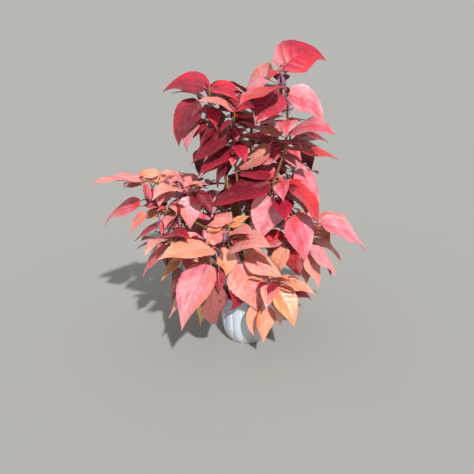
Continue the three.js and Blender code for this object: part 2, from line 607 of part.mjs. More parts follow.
// Trunk: short, leaning a little, flared into lobes where it meets the soil and cut flat there
const TRUNK_SIDES = 15;
const FLARE = 7;
const FLARE_LOBES = 5;
const trunkRings = limbs.trunk.path.map(([x, y, z], row) => {
  const flare = FLARE * Math.exp(-(z - SOIL_LEVEL) / 11);
  const radiusAt = (angle) => limbs.trunk.radii[row] + flare * (1 + 0.35 * Math.cos(FLARE_LOBES * angle));
  return ring(radiusAt, z, TRUNK_SIDES).map((point) => plus(point, [x, y, 0]));
});
addNode('trunk', solid(loft(trunkRings)), 0x8a7a52, 0.85);
const trunkSpace = solid(loft(trunkRings.map((points, row) => {
  const [x, y, z] = limbs.trunk.path[row];
  const grown = points.map((point) => plus(point, times(unit([point[0] - x, point[1] - y, 0]), 1.2 * GAP)));
  return row === trunkRings.length - 1 ? grown.map((point) => [point[0], point[1], z + GAP]) : grown;
})));

// Boughs: each is cut back from its parent and from the boughs that were built before it
const BOUGH_SIDES = 5;
const boughSpaces = [trunkSpace];
for (const [name] of BOUGHS) {
  const raw = solid(tube(limbs[name].path, limbs[name].radii, BOUGH_SIDES));
  const cut = biggest(boughSpaces.reduce((shape, space) => shape.subtract(space), raw));
  addNode(`bough_${name}`, cut, 0x7c7a45, 0.75);
  boughSpaces.push(clearance(limbs[name], BOUGH_SIDES));
}

// Foliage: stem, petioles, blades and catkins of a shoot fused into one solid
const FOLIAGE_COLOURS = {
  crown_right: 0xd8365a, crown_left: 0xb8305a, crown_centre: 0xc43a52, left_branch: 0xe07a62,
  left_middle: 0xb04058, left_low: 0xd06a78, right_side: 0xd8506a, right_low: 0xe88c88,
  front_centre: 0xe67c78, front_left: 0xe8857a, front_right: 0xee9470, middle: 0xa8304c,
  back_centre: 0xc83c5c, back_right: 0xd0586c, back_left: 0xc8546a, low_back: 0xe08070,
  low_back_right: 0xe48a74, low_back_left: 0xdc7c74,
};
for (const shoot of shoots) {
  const stem = solid(tube(shoot.path, shoot.radii, STEM_SIDES));
  const leaves = shoot.leaves.map((leaf) => solid(wholeLeaf(leaf)));
  const spikes = shoot.catkins.map((catkin) => solid(tube(catkin.path, catkin.radii, CATKIN_SIDES)));
  const whole = union([stem, ...leaves, ...spikes]);
  const cut = biggest(whole.subtract(clearance(limbs[shoot.name], BOUGH_SIDES)));
  addNode(`foliage_${shoot.name}`, cut, FOLIAGE_COLOURS[shoot.name], 0.55);
}

export default group;
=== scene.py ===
# %% [markdown]
# A potted copperleaf: a shrub about 0.8 m high with large red, pink and orange leaves, in a small fluted pot.
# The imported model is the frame. It holds the same plant with plain wedge-shaped leaves. Here every leaf gets
# its veins, teeth and tints, the limbs get bark, and the pot and its soil get their real surfaces. The leaves
# aren't read from the frame. They grow again by the rule of the part's source, with the same table and the
# same dice, so that each one lands where the solid one is.

import math
from types import SimpleNamespace

import bpy
import numpy as np
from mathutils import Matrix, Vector, kdtree, noise


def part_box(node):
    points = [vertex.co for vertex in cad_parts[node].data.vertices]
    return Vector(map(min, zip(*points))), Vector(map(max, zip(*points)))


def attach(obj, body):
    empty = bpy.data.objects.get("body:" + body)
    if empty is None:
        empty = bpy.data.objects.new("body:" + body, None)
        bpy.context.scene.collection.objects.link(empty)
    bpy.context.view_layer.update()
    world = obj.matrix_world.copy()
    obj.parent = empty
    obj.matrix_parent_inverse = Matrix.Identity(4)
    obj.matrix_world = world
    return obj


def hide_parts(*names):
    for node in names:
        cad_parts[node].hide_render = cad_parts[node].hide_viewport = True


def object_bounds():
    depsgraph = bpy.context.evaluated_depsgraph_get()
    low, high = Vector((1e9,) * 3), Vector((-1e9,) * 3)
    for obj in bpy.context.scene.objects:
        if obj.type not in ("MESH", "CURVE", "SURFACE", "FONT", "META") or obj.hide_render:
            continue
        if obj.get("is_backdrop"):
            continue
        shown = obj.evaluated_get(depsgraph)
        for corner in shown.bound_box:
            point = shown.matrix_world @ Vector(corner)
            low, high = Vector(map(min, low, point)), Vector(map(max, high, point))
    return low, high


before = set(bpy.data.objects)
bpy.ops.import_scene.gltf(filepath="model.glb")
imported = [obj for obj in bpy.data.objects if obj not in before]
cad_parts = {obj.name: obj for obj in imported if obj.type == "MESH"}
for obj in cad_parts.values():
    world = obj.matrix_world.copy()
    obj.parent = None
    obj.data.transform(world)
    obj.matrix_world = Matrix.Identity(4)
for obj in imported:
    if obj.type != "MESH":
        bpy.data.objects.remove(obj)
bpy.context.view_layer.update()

# %% [markdown]
# The camera comes first, because every later choice is judged through it. The pot's rim shows as an ellipse,
# which gives the angle that the picture looks down at, and the pot's width gives the distance. The camera
# stands 1.5 m in front and 0.85 m up, looks 20.3 degrees down and has a lens of 45.7 mm.

# %% Camera
CAMERA_PLACE = (-0.028, -1.5, 0.85)
CAMERA_DOWN = 20.3
LENS = 45.7
SENSOR = 36
scene = bpy.context.scene
camera = bpy.data.objects.new("camera", bpy.data.cameras.new("camera"))
camera.data.lens = LENS
camera.data.sensor_width = SENSOR
camera.location = CAMERA_PLACE
camera.rotation_euler = (math.radians(90 - CAMERA_DOWN), 0, 0)
scene.collection.objects.link(camera)
scene.camera = camera
print("camera at", CAMERA_PLACE, "with a lens of", LENS, "mm")

# %% [markdown]
# The driving sizes are the source's own, in millimetres, because the rule has to meet the same numbers to
# make the same choices. They turn into metres only when a mesh is made.

# %% Driving sizes
MM = 0.001
POT_HEIGHT = 140
RIM_RADIUS = 75
FOOT_RADIUS = 50
FOOT_ROUNDING = 5
WALL_HEIGHTS = (10, 36)
LIP = 3
SOIL_LEVEL = 122
FORK_HEIGHT = 192
TRUNK_FOOT_RADIUS = 10
FORK_RADIUS = 9
STEM_FOOT_RADIUS = 2.6
STEM_TIP_RADIUS = 1.9
PETIOLE_RADIUS = 1.3
FAT = 0.7
SEED = 7
print("pot", POT_HEIGHT, "mm high and", 2 * RIM_RADIUS, "mm wide, soil at", SOIL_LEVEL, "mm")

# %% [markdown]
# Three tables say how the plant is laid out. A bough leaves the trunk or another bough and ends at its tip. A
# shoot goes on from there with a stem and a number of leaves. The leaves that the picture shows clearly have
# rows of their own, and the rule adds the rest.

# %% Boughs, shoots and leaves
# Boughs: name, parent, place along the parent from 0 to 1, then the tip's azimuth, reach from the pot's
# axis and height, the share of its climb that a bough makes in its first part, and its radius at the foot.
BOUGHS = [
  ["crown_right", "trunk", 0.96, 0, 84, 500, 0.45, 6.5],
  ["crown_left", "trunk", 0.93, 162, 88, 552, 0.5, 6],
  ["back_centre", "trunk", 0.9, 85, 110, 500, 0.5, 5.5],
  ["middle", "trunk", 0.9, 95, 38, 400, 0.5, 5],
  ["crown_centre", "trunk", 0.98, 190, 32, 490, 0.5, 4.5],
  ["left_branch", "crown_left", 0.3, 196, 156, 432, 0.8, 4.5],
  ["left_middle", "crown_left", 0.12, 200, 176, 372, 0.6, 4],
  ["left_low", "trunk", 0.5, 208, 170, 285, 0.4, 4.5],
  ["right_side", "crown_right", 0.3, 331, 82, 396, 0.5, 4],
  ["right_low", "trunk", 0.55, 341, 129, 300, 0.5, 4.5],
  ["front_centre", "middle", 0.12, 245, 99, 290, 0.5, 4],
  ["front_left", "trunk", 0.6, 232, 120, 270, 0.5, 4.5],
  ["front_right", "trunk", 0.45, 300, 106, 192, 0.5, 4.5],
  ["back_right", "back_centre", 0.2, 48, 149, 370, 0.6, 4],
  ["back_left", "back_centre", 0.1, 135, 156, 330, 0.6, 4],
  ["low_back", "trunk", 0.5, 99, 132, 260, 0.4, 4.5],
  ["low_back_right", "trunk", 0.42, 33, 166, 240, 0.4, 4.5],
  ["low_back_left", "trunk", 0.42, 147, 166, 240, 0.4, 4.5],
]

# Shoots: name, the stem's azimuth, rise and length, and its fillers: how many there are, the arc of azimuths
# that they fill, and their rises and lengths at the stem's foot and at its tip.
SHOOTS = [
  ["front_left", [248, 59, 52], [4, 100, 200, -15, 45, 130, 100]],
  ["front_centre", [231, 85, 76], [5, 10, 170, -15, 45, 120, 90]],
  ["front_right", [294, 45, 34], [4, 30, 110, -25, 25, 105, 85]],
  ["right_side", [0, 85, 68], [6, -10, 100, -15, 45, 120, 100]],
  ["right_low", [354, 66, 56], [7, 20, 130, -25, 35, 125, 95]],
  ["crown_right", [180, 87, 230], [9, 45, 155, -15, 30, 125, 95]],
  ["crown_left", [180, 85, 129], [7, 10, 170, -25, 10, 125, 90]],
  ["crown_centre", [180, 89, 134], [4, 60, 150, -15, 30, 110, 85]],
  ["left_branch", [195, 19, 123], [6, 10, 150, -25, 5, 110, 85]],
  ["left_middle", [189, 26, 69], [5, 30, 170, -25, 15, 110, 90]],
  ["left_low", [196, 36, 75], [6, 60, 180, -25, 30, 115, 90]],
  ["middle", [236, 85, 78], [8, 0, 180, -15, 45, 105, 80]],
  ["back_centre", [45, 87, 150], [18, 0, 360, -25, 50, 130, 85]],
  ["back_right", [39, 69, 107], [15, 30, 315, -25, 50, 125, 90]],
  ["back_left", [145, 64, 89], [16, 0, 360, -25, 35, 130, 90]],
  ["low_back", [101, 71, 95], [13, 0, 360, -30, 40, 140, 100]],
  ["low_back_right", [19, 59, 82], [15, 0, 360, -30, 40, 130, 90]],
  ["low_back_left", [161, 57, 78], [15, 0, 360, -30, 40, 130, 90]],
]

# Leaves: place along the stem, azimuth, rise, length, turn about the midrib, droop, and the width and the
# petiole as shares of the length. Where a row is short, the usual values follow.
LEAVES = {
  "crown_right": [
    [0.95, 32, 51, 156, 46, 90, 0.64, 0.06], [0.74, 358, -8, 121, 47, 63, 0.65, 0.07],
    [0.03, 7, -45, 133, 46, 25, 0.64, 0.38], [0.31, 314, 32, 151, 20, 52, 0.65, 0.06],
    [0.21, 15, -12, 144, 16, 15, 0.65, 0.12], [0.83, 234, -30, 118, -37, 15, 0.7, 0.21],
    [0.17, 156, -23, 129, -35, 15, 0.64, 0.29], [0.8, 125, 15, 114, -59, 64, 0.74, 0.5],
    [0.26, 148, 23, 97, -9, 29, 0.64, 0.15], [0.1, 154, -18, 94, -34, 18, 0.65, 0.06],
    [0.06, 359, -18, 80, 21, 29, 0.64, 0.07], [0.83, 239, -1, 168, 5, 15, 0.53, 0.25], [0.97, 244, 7, 49],
    [0.39, 47, 28, 68], [0.17, 310, -1, 60], [0.22, 190, 0, 50], [0.5, 217, 13, 83], [0.46, 265, 8, 87],
    [0.23, 28, 9, 108, 14, 41, 0.64, 0.32], [0.85, 78, -25, 64, 23, 56, 0.64, 0.21],
    [0.96, 82, -16, 73, 4, 26, 0.64, 0.32],
  ],
  "crown_left": [
    [0.94, 171, 33, 126, -33, 77, 0.64, 0.06], [0.81, 195, -28, 132, -37, 63, 0.64, 0.2],
    [0.49, 209, -30, 85, -3, 67, 0.63, 0.49], [0.3, 228, -40, 68, -1, 24, 0.64, 0.06],
    [0.95, 345, 6, 80, 14, 52, 0.64, 0.06], [0.36, 194, -21, 87, -20, 40], [0.66, 297, -40, 57],
    [0.43, 96, 3, 55], [0.5, 14, 27, 113, 25, 61, 0.64, 0.23], [0.79, 82, -35, 106, 22, 56, 0.64, 0.38],
    [0.6, 76, 30, 115, 29, 42, 0.64, 0.3], [0.03, 132, -37, 108, -8, 64, 0.64, 0.31],
  ],
  "crown_centre": [
    [0.67, 186, -31, 128, -26, 15, 0.64, 0.08], [0.34, 185, -26, 110, -25, 21, 0.65, 0.07],
    [1, 204, 42, 99, -19, 47, 0.64, 0.06], [0.13, 180, -13, 86, -12, 39, 0.63, 0.22], [0.88, 215, -15, 48],
    [0.8, 330, 15, 50], [0.7, 10, 0, 45], [0.24, 262, -10, 44], [0.75, 280, -20, 45], [0.42, 298, -10, 66],
    [0.14, 76, 50, 67], [0.16, 179, -42, 73, -25, 55, 0.64, 0.38], [0.57, 43, -4, 106, -20, 34, 0.64, 0.38],
    [0.65, 68, 24, 112, 32, 30, 0.64, 0.26], [0.12, 104, -14, 99, -13, 60, 0.64, 0.4],
  ],
  "left_branch": [
    [0.03, 289, -56, 90, 6, 50, 0.66, 0.13], [0.69, 206, 16, 130, -1, 26, 0.61, 0.28],
    [0.81, 168, -9, 66, -18, 17, 0.64, 0.2], [0.03, 142, 22, 104, -22, 76, 0.64, 0.36],
    [0.41, 141, 19, 85, -11, 53, 0.64, 0.29], [0.03, 242, 60, 64, -48, 68, 0.55, 0.33],
    [0.99, 336, -59, 48, -1, 22, 0.64, 0.27], [0.03, 229, 29, 106, -7, 66, 0.59, 0.22], [0.85, 14, -60, 44],
    [0.11, 71, 50, 51], [0.57, 264, -28, 57], [0.09, 20, 27, 63], [0.06, 329, -6, 82, 15, 66, 0.62, 0.24],
    [0.1, 112, -44, 110, -21, 40, 0.64, 0.29],
  ],
  "left_middle": [
    [1, 163, -4, 128, -19, 52, 0.65, 0.38], [0.44, 158, -9, 83, -21, 15, 0.65, 0.24],
    [0.07, 171, -25, 99, -6, 15, 0.64, 0.5], [1, 183, -34, 68, -28, 33, 0.65, 0.5],
    [0.29, 250, 8, 68, 18, 51, 0.64, 0.06], [0.3, 230, -20, 64], [0.05, 192, -40, 78], [0.39, 96, -28, 78],
    [0.62, 133, 28, 89, -23, 26, 0.64, 0.24],
  ],
  "left_low": [
    [0.93, 243, 21, 92, 12, 62, 0.61, 0.06], [0.72, 191, -41, 83, -7, 22, 0.64, 0.44],
    [1, 320, 38, 90, 11, 60, 0.64, 0.14], [0.03, 210, -64, 94, 1, 15, 0.65, 0.5],
    [0.03, 207, -35, 75, 1, 15, 0.64, 0.37], [0.68, 332, -27, 83], [0.36, 136, -31, 89],
    [0.24, 132, -43, 85], [0.79, 141, -2, 83, 19, 29, 0.64, 0.39],
  ],
  "right_side": [
    [0.83, 206, -60, 119, -53, 30, 0.74, 0.3], [0.58, 338, -59, 133, 40, 31, 0.69, 0.5],
    [1, 344, -24, 159, 5, 62, 0.65, 0.14], [0.43, 278, -21, 79, -2, 15, 0.65, 0.2],
    [0.88, 149, 14, 118, -7, 36, 0.61, 0.27], [0.95, 189, -10, 175, -15, 23, 0.64, 0.12],
    [0.97, 276, -6, 70, 30],
  ],
  "right_low": [
    [1, 7, -8, 161, 17, 51, 0.65, 0.27], [0.07, 358, -53, 118, 33, 32, 0.65, 0.33],
    [0.03, 358, -31, 111, 19, 28, 0.64, 0.39], [0.53, 225, -65, 99, 6, 90, 0.65, 0.5],
    [0.19, 207, -33, 97, -12, 87, 0.58, 0.37], [0.04, 37, 10, 65], [0.7, 48, 13, 65], [0.04, 69, 22, 74],
    [0.36, 179, -6, 105, -23, 29, 0.64, 0.36],
  ],
  "front_centre": [
    [0.33, 317, 35, 138, 25, 44, 0.65, 0.06], [0.83, 166, -23, 65, -70, 40, 0.71, 0.29],
    [0.92, 165, -2, 53, -29, 41, 0.65, 0.32], [0.88, 38, 35, 67, 1, 35, 0.64, 0.06],
    [0.07, 341, -58, 150, 49, 15, 0.73, 0.24], [0.07, 360, -24, 121, 35, 15, 0.65, 0.3],
    [0.97, 157, 8, 63, -20], [0.4, 288, -58, 69], [0.73, 312, 38, 85, 20, 50], [0.59, 73, -9, 79],
    [0.79, 121, -50, 89, 28, 28, 0.64, 0.37], [0.64, 93, 25, 92, -9, 57, 0.64, 0.15],
  ],
  "front_left": [
    [1, 239, -40, 175, 8, 16, 0.65, 0.28], [0.95, 220, 12, 158, -9, 16, 0.64, 0.06],
    [1, 345, -38, 71, 70, 90, 0.74, 0.31], [0.03, 256, -55, 136, -54, 78, 0.63, 0.46],
    [0.13, 139, -64, 175, -63, 22, 0.7, 0.32], [0.24, 208, -38, 159, 10, 18, 0.64, 0.23],
    [0.13, 346, -50, 117, 44, 90, 0.51, 0.5], [0.14, 183, -39, 110],
    [0.21, 277, -50, 66, -24, 21, 0.64, 0.4],
  ],
  "front_right": [
    [1, 308, -33, 102, 14, 43, 0.65, 0.27], [0.77, 0, 7, 116, 9, 43, 0.64, 0.06],
    [0.33, 246, -65, 101, -60, 22, 0.62, 0.5], [0.05, 211, -53, 101, -67, 60, 0.4, 0.5],
    [0.3, 319, -53, 103, -10, 45], [0.97, 295, 50, 76], [0.92, 256, -6, 76],
    [0.56, 19, -7, 106, 34, 51, 0.64, 0.28],
  ],
  "middle": [
    [0.09, 285, -32, 59, -28, 15, 0.64, 0.27], [0.18, 20, -12, 71, 41, 31, 0.65, 0.37],
    [0.13, 157, -29, 118, -30, 15, 0.65, 0.07], [0.89, 120, -13, 93, -20, 45], [0.83, 351, 9, 99, 20, 45],
    [0.72, 293, -30, 103], [0.29, 302, -19, 91], [0.14, 333, -60, 104], [0.39, 154, -14, 106],
    [0.59, 171, -9, 71, -26, 48, 0.64, 0.11], [0.23, 106, -44, 108, -32, 22, 0.64, 0.36],
  ],
}

print(len(BOUGHS), "boughs,", len(SHOOTS), "shoots and",
      sum(map(len, LEAVES.values())), "leaves with rows of their own")

# %% [markdown]
# The rule needs a few helpers for points, and dice that roll the same numbers each time. Blender's own random
# numbers would do for a plant alone, but these have to match the source's, so the same small generator is
# written again.

# %% Points and dice
WORD = 0xFFFFFFFF


def mix(a, b, t):
    return a + (b - a) * t


def unit(vector):
    return vector / math.sqrt(vector @ vector)


def heading(azimuth, rise):
    flat = math.cos(math.radians(rise))
    turn = math.radians(azimuth)
    return np.array((flat * math.cos(turn), flat * math.sin(turn), math.sin(math.radians(rise))))


def bend(start, via, end, t):
    return start * (1 - t) ** 2 + via * (2 * t * (1 - t)) + end * t ** 2


def dice(seed):
    state = seed

    def roll():
        nonlocal state
        state = (state + 0x6D2B79F5) & WORD
        t = ((state ^ (state >> 15)) * (state | 1)) & WORD
        t ^= (t + (((t ^ (t >> 7)) * (t | 61)) & WORD)) & WORD
        return (t ^ (t >> 14)) / 2 ** 32

    return roll


print("first roll", round(dice(SEED)(), 6))

# %% [markdown]
# Stems, boughs and petioles are tubes: rings of points round a path. Each ring stands square to the path. The
# same tube serves twice, with few sides in the crossing test and with many in the mesh that shows.

# %% Tubes


def skirt(rings):
    """Triangles between rings of equal count, and a lid on the first ring."""
    sides = len(rings[0])
    faces = []
    for row in range(len(rings) - 1):
        for side in range(sides):
            here = row * sides + side
            beside = row * sides + (side + 1) % sides
            faces += [(here, beside, beside + sides), (here, beside + sides, here + sides)]
    return faces + [(0, side + 1, side) for side in range(1, sides - 1)]


def closed(rings):
    """Points and triangles of rings with a lid on each end."""
    sides = len(rings[0])
    last = (len(rings) - 1) * sides
    lid = [(last, last + side + 1, last + side + 2) for side in range(sides - 2)]
    return np.concatenate(rings), np.array(skirt(rings) + lid)


def tube(path, radii, sides):
    path = np.asarray(path, float)
    span = path[-1] - path[0]
    steep = abs(span[2]) > 0.5 * math.sqrt(span @ span)
    reference = np.array((0, 1, 0) if steep else (0, 0, 1), float)
    turns = [-2 * math.pi * side / sides for side in range(sides)]
    rings = []
    for row, point in enumerate(path):
        along = unit(path[min(row + 1, len(path) - 1)] - path[max(row - 1, 0)])
        across = unit(np.cross(along, reference))
        up = np.cross(across, along)
        rings.append([point + (across * math.cos(turn) + up * math.sin(turn)) * radii[row] for turn in turns])
    return closed(rings)


print("a tube of 2 rings with 6 sides has", len(tube([(0, 0, 0), (0, 0, 1)], [1, 1], 6)[1]), "triangles")


# %% [markdown]
# A copperleaf blade is egg-shaped, with a rounded foot and a long drawn-out point. Its midrib leaves the
# petiole in line with it and then droops in an arc. These two functions say where any place on a blade is,
# and both the crossing test and the detailed leaf are built on them.

# %% Blade
OUTLINE_BASE = 0.55
OUTLINE_TIP = 1.4


def outline(t):
    """Half the width of a blade, as a share of its widest place, at t from foot to tip."""
    t = np.clip(t, 0, 1)
    peak = OUTLINE_BASE / (OUTLINE_BASE + OUTLINE_TIP)
    return t ** OUTLINE_BASE * (1 - t) ** OUTLINE_TIP / (peak ** OUTLINE_BASE * (1 - peak) ** OUTLINE_TIP)


def midrib(leaf, t):
    """The midrib's point at t, the direction across the blade and the one out of its upper face."""
    t = np.asarray(t, float)[..., None]
    rise = math.radians(leaf.rise)
    droop = math.radians(max(leaf.droop, 0.001))
    level = heading(leaf.azimuth, 0)
    flat_side = np.array((-level[1], level[0], 0))
    up = np.array((0.0, 0.0, 1.0))
    slope = rise - droop * t
    reach = leaf.length / droop * (math.sin(rise) - np.sin(slope))
    lift = leaf.length / droop * (np.cos(slope) - math.cos(rise))
    flat_normal = up * np.cos(slope) - level * np.sin(slope)
    roll = math.radians(leaf.roll)
    side = flat_side * math.cos(roll) + flat_normal * math.sin(roll)
    normal = flat_normal * math.cos(roll) - flat_side * math.sin(roll)
    return leaf.base + level * reach + up * lift, side, normal


def petiole_ring(leaf):
    _, side, normal = midrib(leaf, 0)
    face = leaf.base + normal * (PETIOLE_RADIUS / 2)
    across = side * (0.87 * PETIOLE_RADIUS)
    return [face + across, face - across, leaf.base - normal * PETIOLE_RADIUS]


def fat_blade(leaf):
    """The source's wedge-shaped blade, grown a little for the crossing test."""
    depth = max(leaf.length / 45, 1.6) + FAT
    rings = [petiole_ring(leaf)]
    for t in leaf.stations:
        point, side, normal = midrib(leaf, t)
        half = leaf.length * leaf.width / 2 * outline(t) * 1.03
        face = point + normal * (depth / 2)
        rings.append([face + side * half, face - side * half, point - normal * (depth / 2)])
    last = (len(rings) - 1) * 3
    tip = [(last + side, last + (side + 1) % 3, last + 3) for side in range(3)]
    points = np.concatenate([*rings, midrib(leaf, 1)[0][None]])
    return points, np.array(skirt(rings) + tip)


print("a blade is widest at", round(OUTLINE_BASE / (OUTLINE_BASE + OUTLINE_TIP), 2), "of its length")


# %% [markdown]
# Leaves that cut through each other give a plant away at once, so nothing grows where something else already
# is. Two skins cross where an edge of one runs through a face of the other. Boxes round the skins rule out
# most pairs before that test, and arrays test all edges against all faces in one go.

# %% Crossing test


def skin(shape, owner, kind):
    points, faces = shape
    pairs = np.sort(np.concatenate([faces[:, [0, 1]], faces[:, [1, 2]], faces[:, [2, 0]]]), axis=1)
    edges = np.unique(pairs, axis=0)
    return SimpleNamespace(points=points, faces=faces, edges=edges, owner=owner, kind=kind,
                           low=points.min(0), high=points.max(0))


def pierces(a, b):
    start = a.points[a.edges[:, 0]]
    ray = a.points[a.edges[:, 1]] - start
    corner, first, second = (b.points[b.faces[:, i]] for i in range(3))
    first, second = first - corner, second - corner
    h = np.cross(ray[:, None], second[None])
    scale = (first[None] * h).sum(-1)
    clear = np.abs(scale) >= 1e-9
    inverse = 1 / np.where(clear, scale, 1)
    s = start[:, None] - corner[None]
    u = (s * h).sum(-1) * inverse
    q = np.cross(s, np.broadcast_to(first[None], s.shape))
    v = (q * ray[:, None]).sum(-1) * inverse
    t = (q * second[None]).sum(-1) * inverse
    return bool((clear & (u >= 0) & (v >= 0) & (u + v <= 1) & (t >= 0) & (t <= 1)).any())


class Obstacles:
    """Everything that has grown so far, with the boxes kept in arrays."""

    def __init__(self):
        self.skins = []
        self.low = np.empty((0, 3))
        self.high = np.empty((0, 3))

    def add(self, grown):
        self.skins.append(grown)
        self.low = np.vstack([self.low, grown.low])
        self.high = np.vstack([self.high, grown.high])

    def hit(self, candidate, minds=lambda other: True):
        near = ((candidate.low <= self.high) & (self.low <= candidate.high)).all(1)
        others = filter(minds, (self.skins[index] for index in np.flatnonzero(near)))
        return any(pierces(candidate, other) or pierces(other, candidate) for other in others)


ends = (heading(0, 90), heading(0, 0))
post, beam = (skin(tube([-end, end], [0.2, 0.2], 5), "trial", "limb") for end in ends)
print("a post and a beam through it cross:", pierces(post, beam) or pierces(beam, post))


# %% [markdown]
# Now the limbs. Each is a smooth bend from its foot to its tip. The rule sees it as four straight steps, as
# the source does, and the mesh that shows follows the bend itself.

# %% Limbs
SHARES = [step / 4 for step in range(5)]
STEM_SHARES = [step / 3 for step in range(4)]
BOUGH_TIP_RADIUS = STEM_FOOT_RADIUS + 0.6
OUTWARD_SHARE = 0.36


def limb_along(start, via, end, radii, shares=SHARES):
    path = np.array([bend(start, via, end, t) for t in shares])
    return SimpleNamespace(curve=(start, via, end), path=path, ends=radii,
                           radii=[mix(*radii, t) for t in shares])


def point_along(limb, t):
    place = t * (len(limb.path) - 1)
    step = min(int(place), len(limb.path) - 2)
    return limb.path[step] + (limb.path[step + 1] - limb.path[step]) * (place - step)


trunk_foot = np.array((0, 0, SOIL_LEVEL), float)
trunk_via = np.array((2, 0, mix(SOIL_LEVEL, FORK_HEIGHT, 0.5)))
trunk_top = np.array((-3, 0, FORK_HEIGHT), float)
limbs = {"trunk": limb_along(trunk_foot, trunk_via, trunk_top, (TRUNK_FOOT_RADIUS, FORK_RADIUS))}
for name, parent, at, azimuth, reach, height, climb, radius in BOUGHS:
    aside = 0.5 * FORK_RADIUS if parent == "trunk" else 0
    foot = point_along(limbs[parent], at) + heading(azimuth, 0) * aside
    tip = heading(azimuth, 0) * reach + (0, 0, height)
    via = mix(foot, tip, np.array((OUTWARD_SHARE, OUTWARD_SHARE, climb)))
    limbs[name] = limb_along(foot, via, tip, (radius, BOUGH_TIP_RADIUS))

shoots = []
for name, (azimuth, rise, length), filler in SHOOTS:
    bough = limbs[name].path
    lead = unit(bough[-1] - bough[-2])
    end = bough[-1] + heading(azimuth, rise) * length
    via = bough[-1] + lead * (length / 2)
    stem = limb_along(bough[-1], via, end, (STEM_FOOT_RADIUS, STEM_TIP_RADIUS), STEM_SHARES)
    shoots.append(SimpleNamespace(name=name, filler=filler, leaves=[], catkins=[], twigs=[], **vars(stem)))
print(len(limbs), "limbs and", len(shoots), "stems")

# %% [markdown]
# The limbs, the stems and the pot's wall are in the way from the start. Everything goes in a little fatter
# than it is, so that what just passes the test still keeps a gap.

# %% What is in the way
obstacles = Obstacles()


def fat_tube(path, radii, sides, owner, kind):
    return skin(tube(path, [radius + FAT for radius in radii], sides), owner, kind)


def wall_radius(z):
    """The pot's radius under its band, which rounds in towards the foot."""
    return mix(FOOT_RADIUS, RIM_RADIUS - LIP, 1 - (1 - z / POT_HEIGHT) ** FOOT_ROUNDING)


for name, limb in limbs.items():
    obstacles.add(fat_tube(limb.path, limb.radii, 5, "bough " + name, "limb"))
for shoot in shoots:
    obstacles.add(fat_tube(shoot.path, shoot.radii, 4, shoot.name, "stem"))
wall_path = [(0, 0, z) for z in (0, *WALL_HEIGHTS, POT_HEIGHT)]
wall_radii = [FOOT_RADIUS, *map(wall_radius, WALL_HEIGHTS), RIM_RADIUS]
obstacles.add(fat_tube(wall_path, wall_radii, 24, "pot", "limb"))
print(len(obstacles.skins), "things in the way")

# %% [markdown]
# A leaf is tried at its own heading first. If it would cross anything, it is tried again at wider and wider
# turns and a little smaller, and after fourteen tries it is left out. A petiole may touch its own stem, so
# only blades, flower spikes and other shoots stop it.

# %% Growing a leaf
# Places from a blade's foot to its tip where the solid blade has its corners
BLADE_STATIONS = (0.1, 0.31, 0.56, 0.8)
FILLER_STATIONS = (0.13, 0.4, 0.72)
TRIES = 14
SPREAD_STEP = 4
SHRINK_STEP = 0.02
FLOOR_CLEARANCE = 2
roll = dice(SEED)


def between(low, high):
    return mix(low, high, roll())


def stalk_blocked(stalk):
    return obstacles.hit(stalk, lambda other: other.owner != stalk.owner or other.kind in ("blade", "catkin"))


def leaf_at(start, azimuth, rise, length, turn, droop, width, petiole, stations):
    base = start + heading(azimuth, rise) * (petiole * length)
    return SimpleNamespace(start=start, base=base, azimuth=azimuth, rise=rise, length=length, roll=turn,
                           droop=droop, width=width, stations=stations)


def grows(shoot, leaf, reach=None):
    """True if the leaf has room, which it then takes. reach is a box that it has to stay in."""
    face = skin(fat_blade(leaf), shoot.name, "blade")
    stalk = leaf.base - leaf.start
    clear = min((STEM_FOOT_RADIUS + FAT + 1) / math.sqrt(stalk @ stalk), 0.8)
    path = [leaf.start + stalk * clear, leaf.base]
    petiole = fat_tube(path, [PETIOLE_RADIUS] * 2, 3, shoot.name, "petiole")
    outside = reach and ((face.low < reach[0]).any() or (face.high > reach[1]).any())
    if outside or face.low[2] < FLOOR_CLEARANCE or obstacles.hit(face) or stalk_blocked(petiole):
        return False
    obstacles.add(face)
    obstacles.add(petiole)
    shoot.leaves.append(leaf)
    return True


def grow_leaf(shoot, wish, known):
    along, azimuth, rise, length, turn, droop, width, petiole = wish
    for attempt in range(TRIES):
        spread = 0 if attempt == 0 else SPREAD_STEP * (1 + attempt)
        a, b, c, d = (between(-1, 1) for _ in range(4))
        own_turn = turn if known else 20 * c
        leaf = leaf_at(point_along(shoot, along), azimuth + spread * a, rise + 0.7 * spread * b,
                       length * (1 - SHRINK_STEP * attempt), own_turn + 0.5 * spread * c,
                       droop + 0.5 * spread * d, width, petiole,
                       BLADE_STATIONS if known else FILLER_STATIONS)
        if grows(shoot, leaf):
            return leaf
    return None


print("dice at seed", SEED, "and at most", TRIES, "tries for a leaf")

# %% [markdown]
# Flower spikes grow where a leaf leaves the stem. Each first arches out and then hangs. Its path is one bend
# with its shoulder above the start and its end below.

# %% Hanging a flower spike
CATKINS_PER_SHOOT = 1
CATKIN_LENGTHS = (40, 70)
CATKIN_RADII = (1.2, 2.6, 2.8, 1.2)


def catkin_path(shoot, along, azimuth, length):
    start = point_along(shoot, along)
    out = heading(azimuth, 0)
    shoulder = start + out * (0.28 * length) + (0, 0, 0.18 * length)
    end = start + out * (0.42 * length) + (0, 0, -0.85 * length)
    return start, shoulder, end


def hangs(shoot, along, azimuth, length):
    """True if a flower spike has room here, which it then takes."""
    curve = catkin_path(shoot, along, azimuth, length)
    path = [bend(*curve, t) for t in (0, 0.3, 0.6, 1)]
    path[0] = bend(path[0], path[0], path[1], 0.8)
    spike = fat_tube(path, CATKIN_RADII, 4, shoot.name, "catkin")
    if obstacles.hit(spike) or spike.low[2] <= FLOOR_CLEARANCE:
        return False
    obstacles.add(spike)
    shoot.catkins.append(curve)
    return True


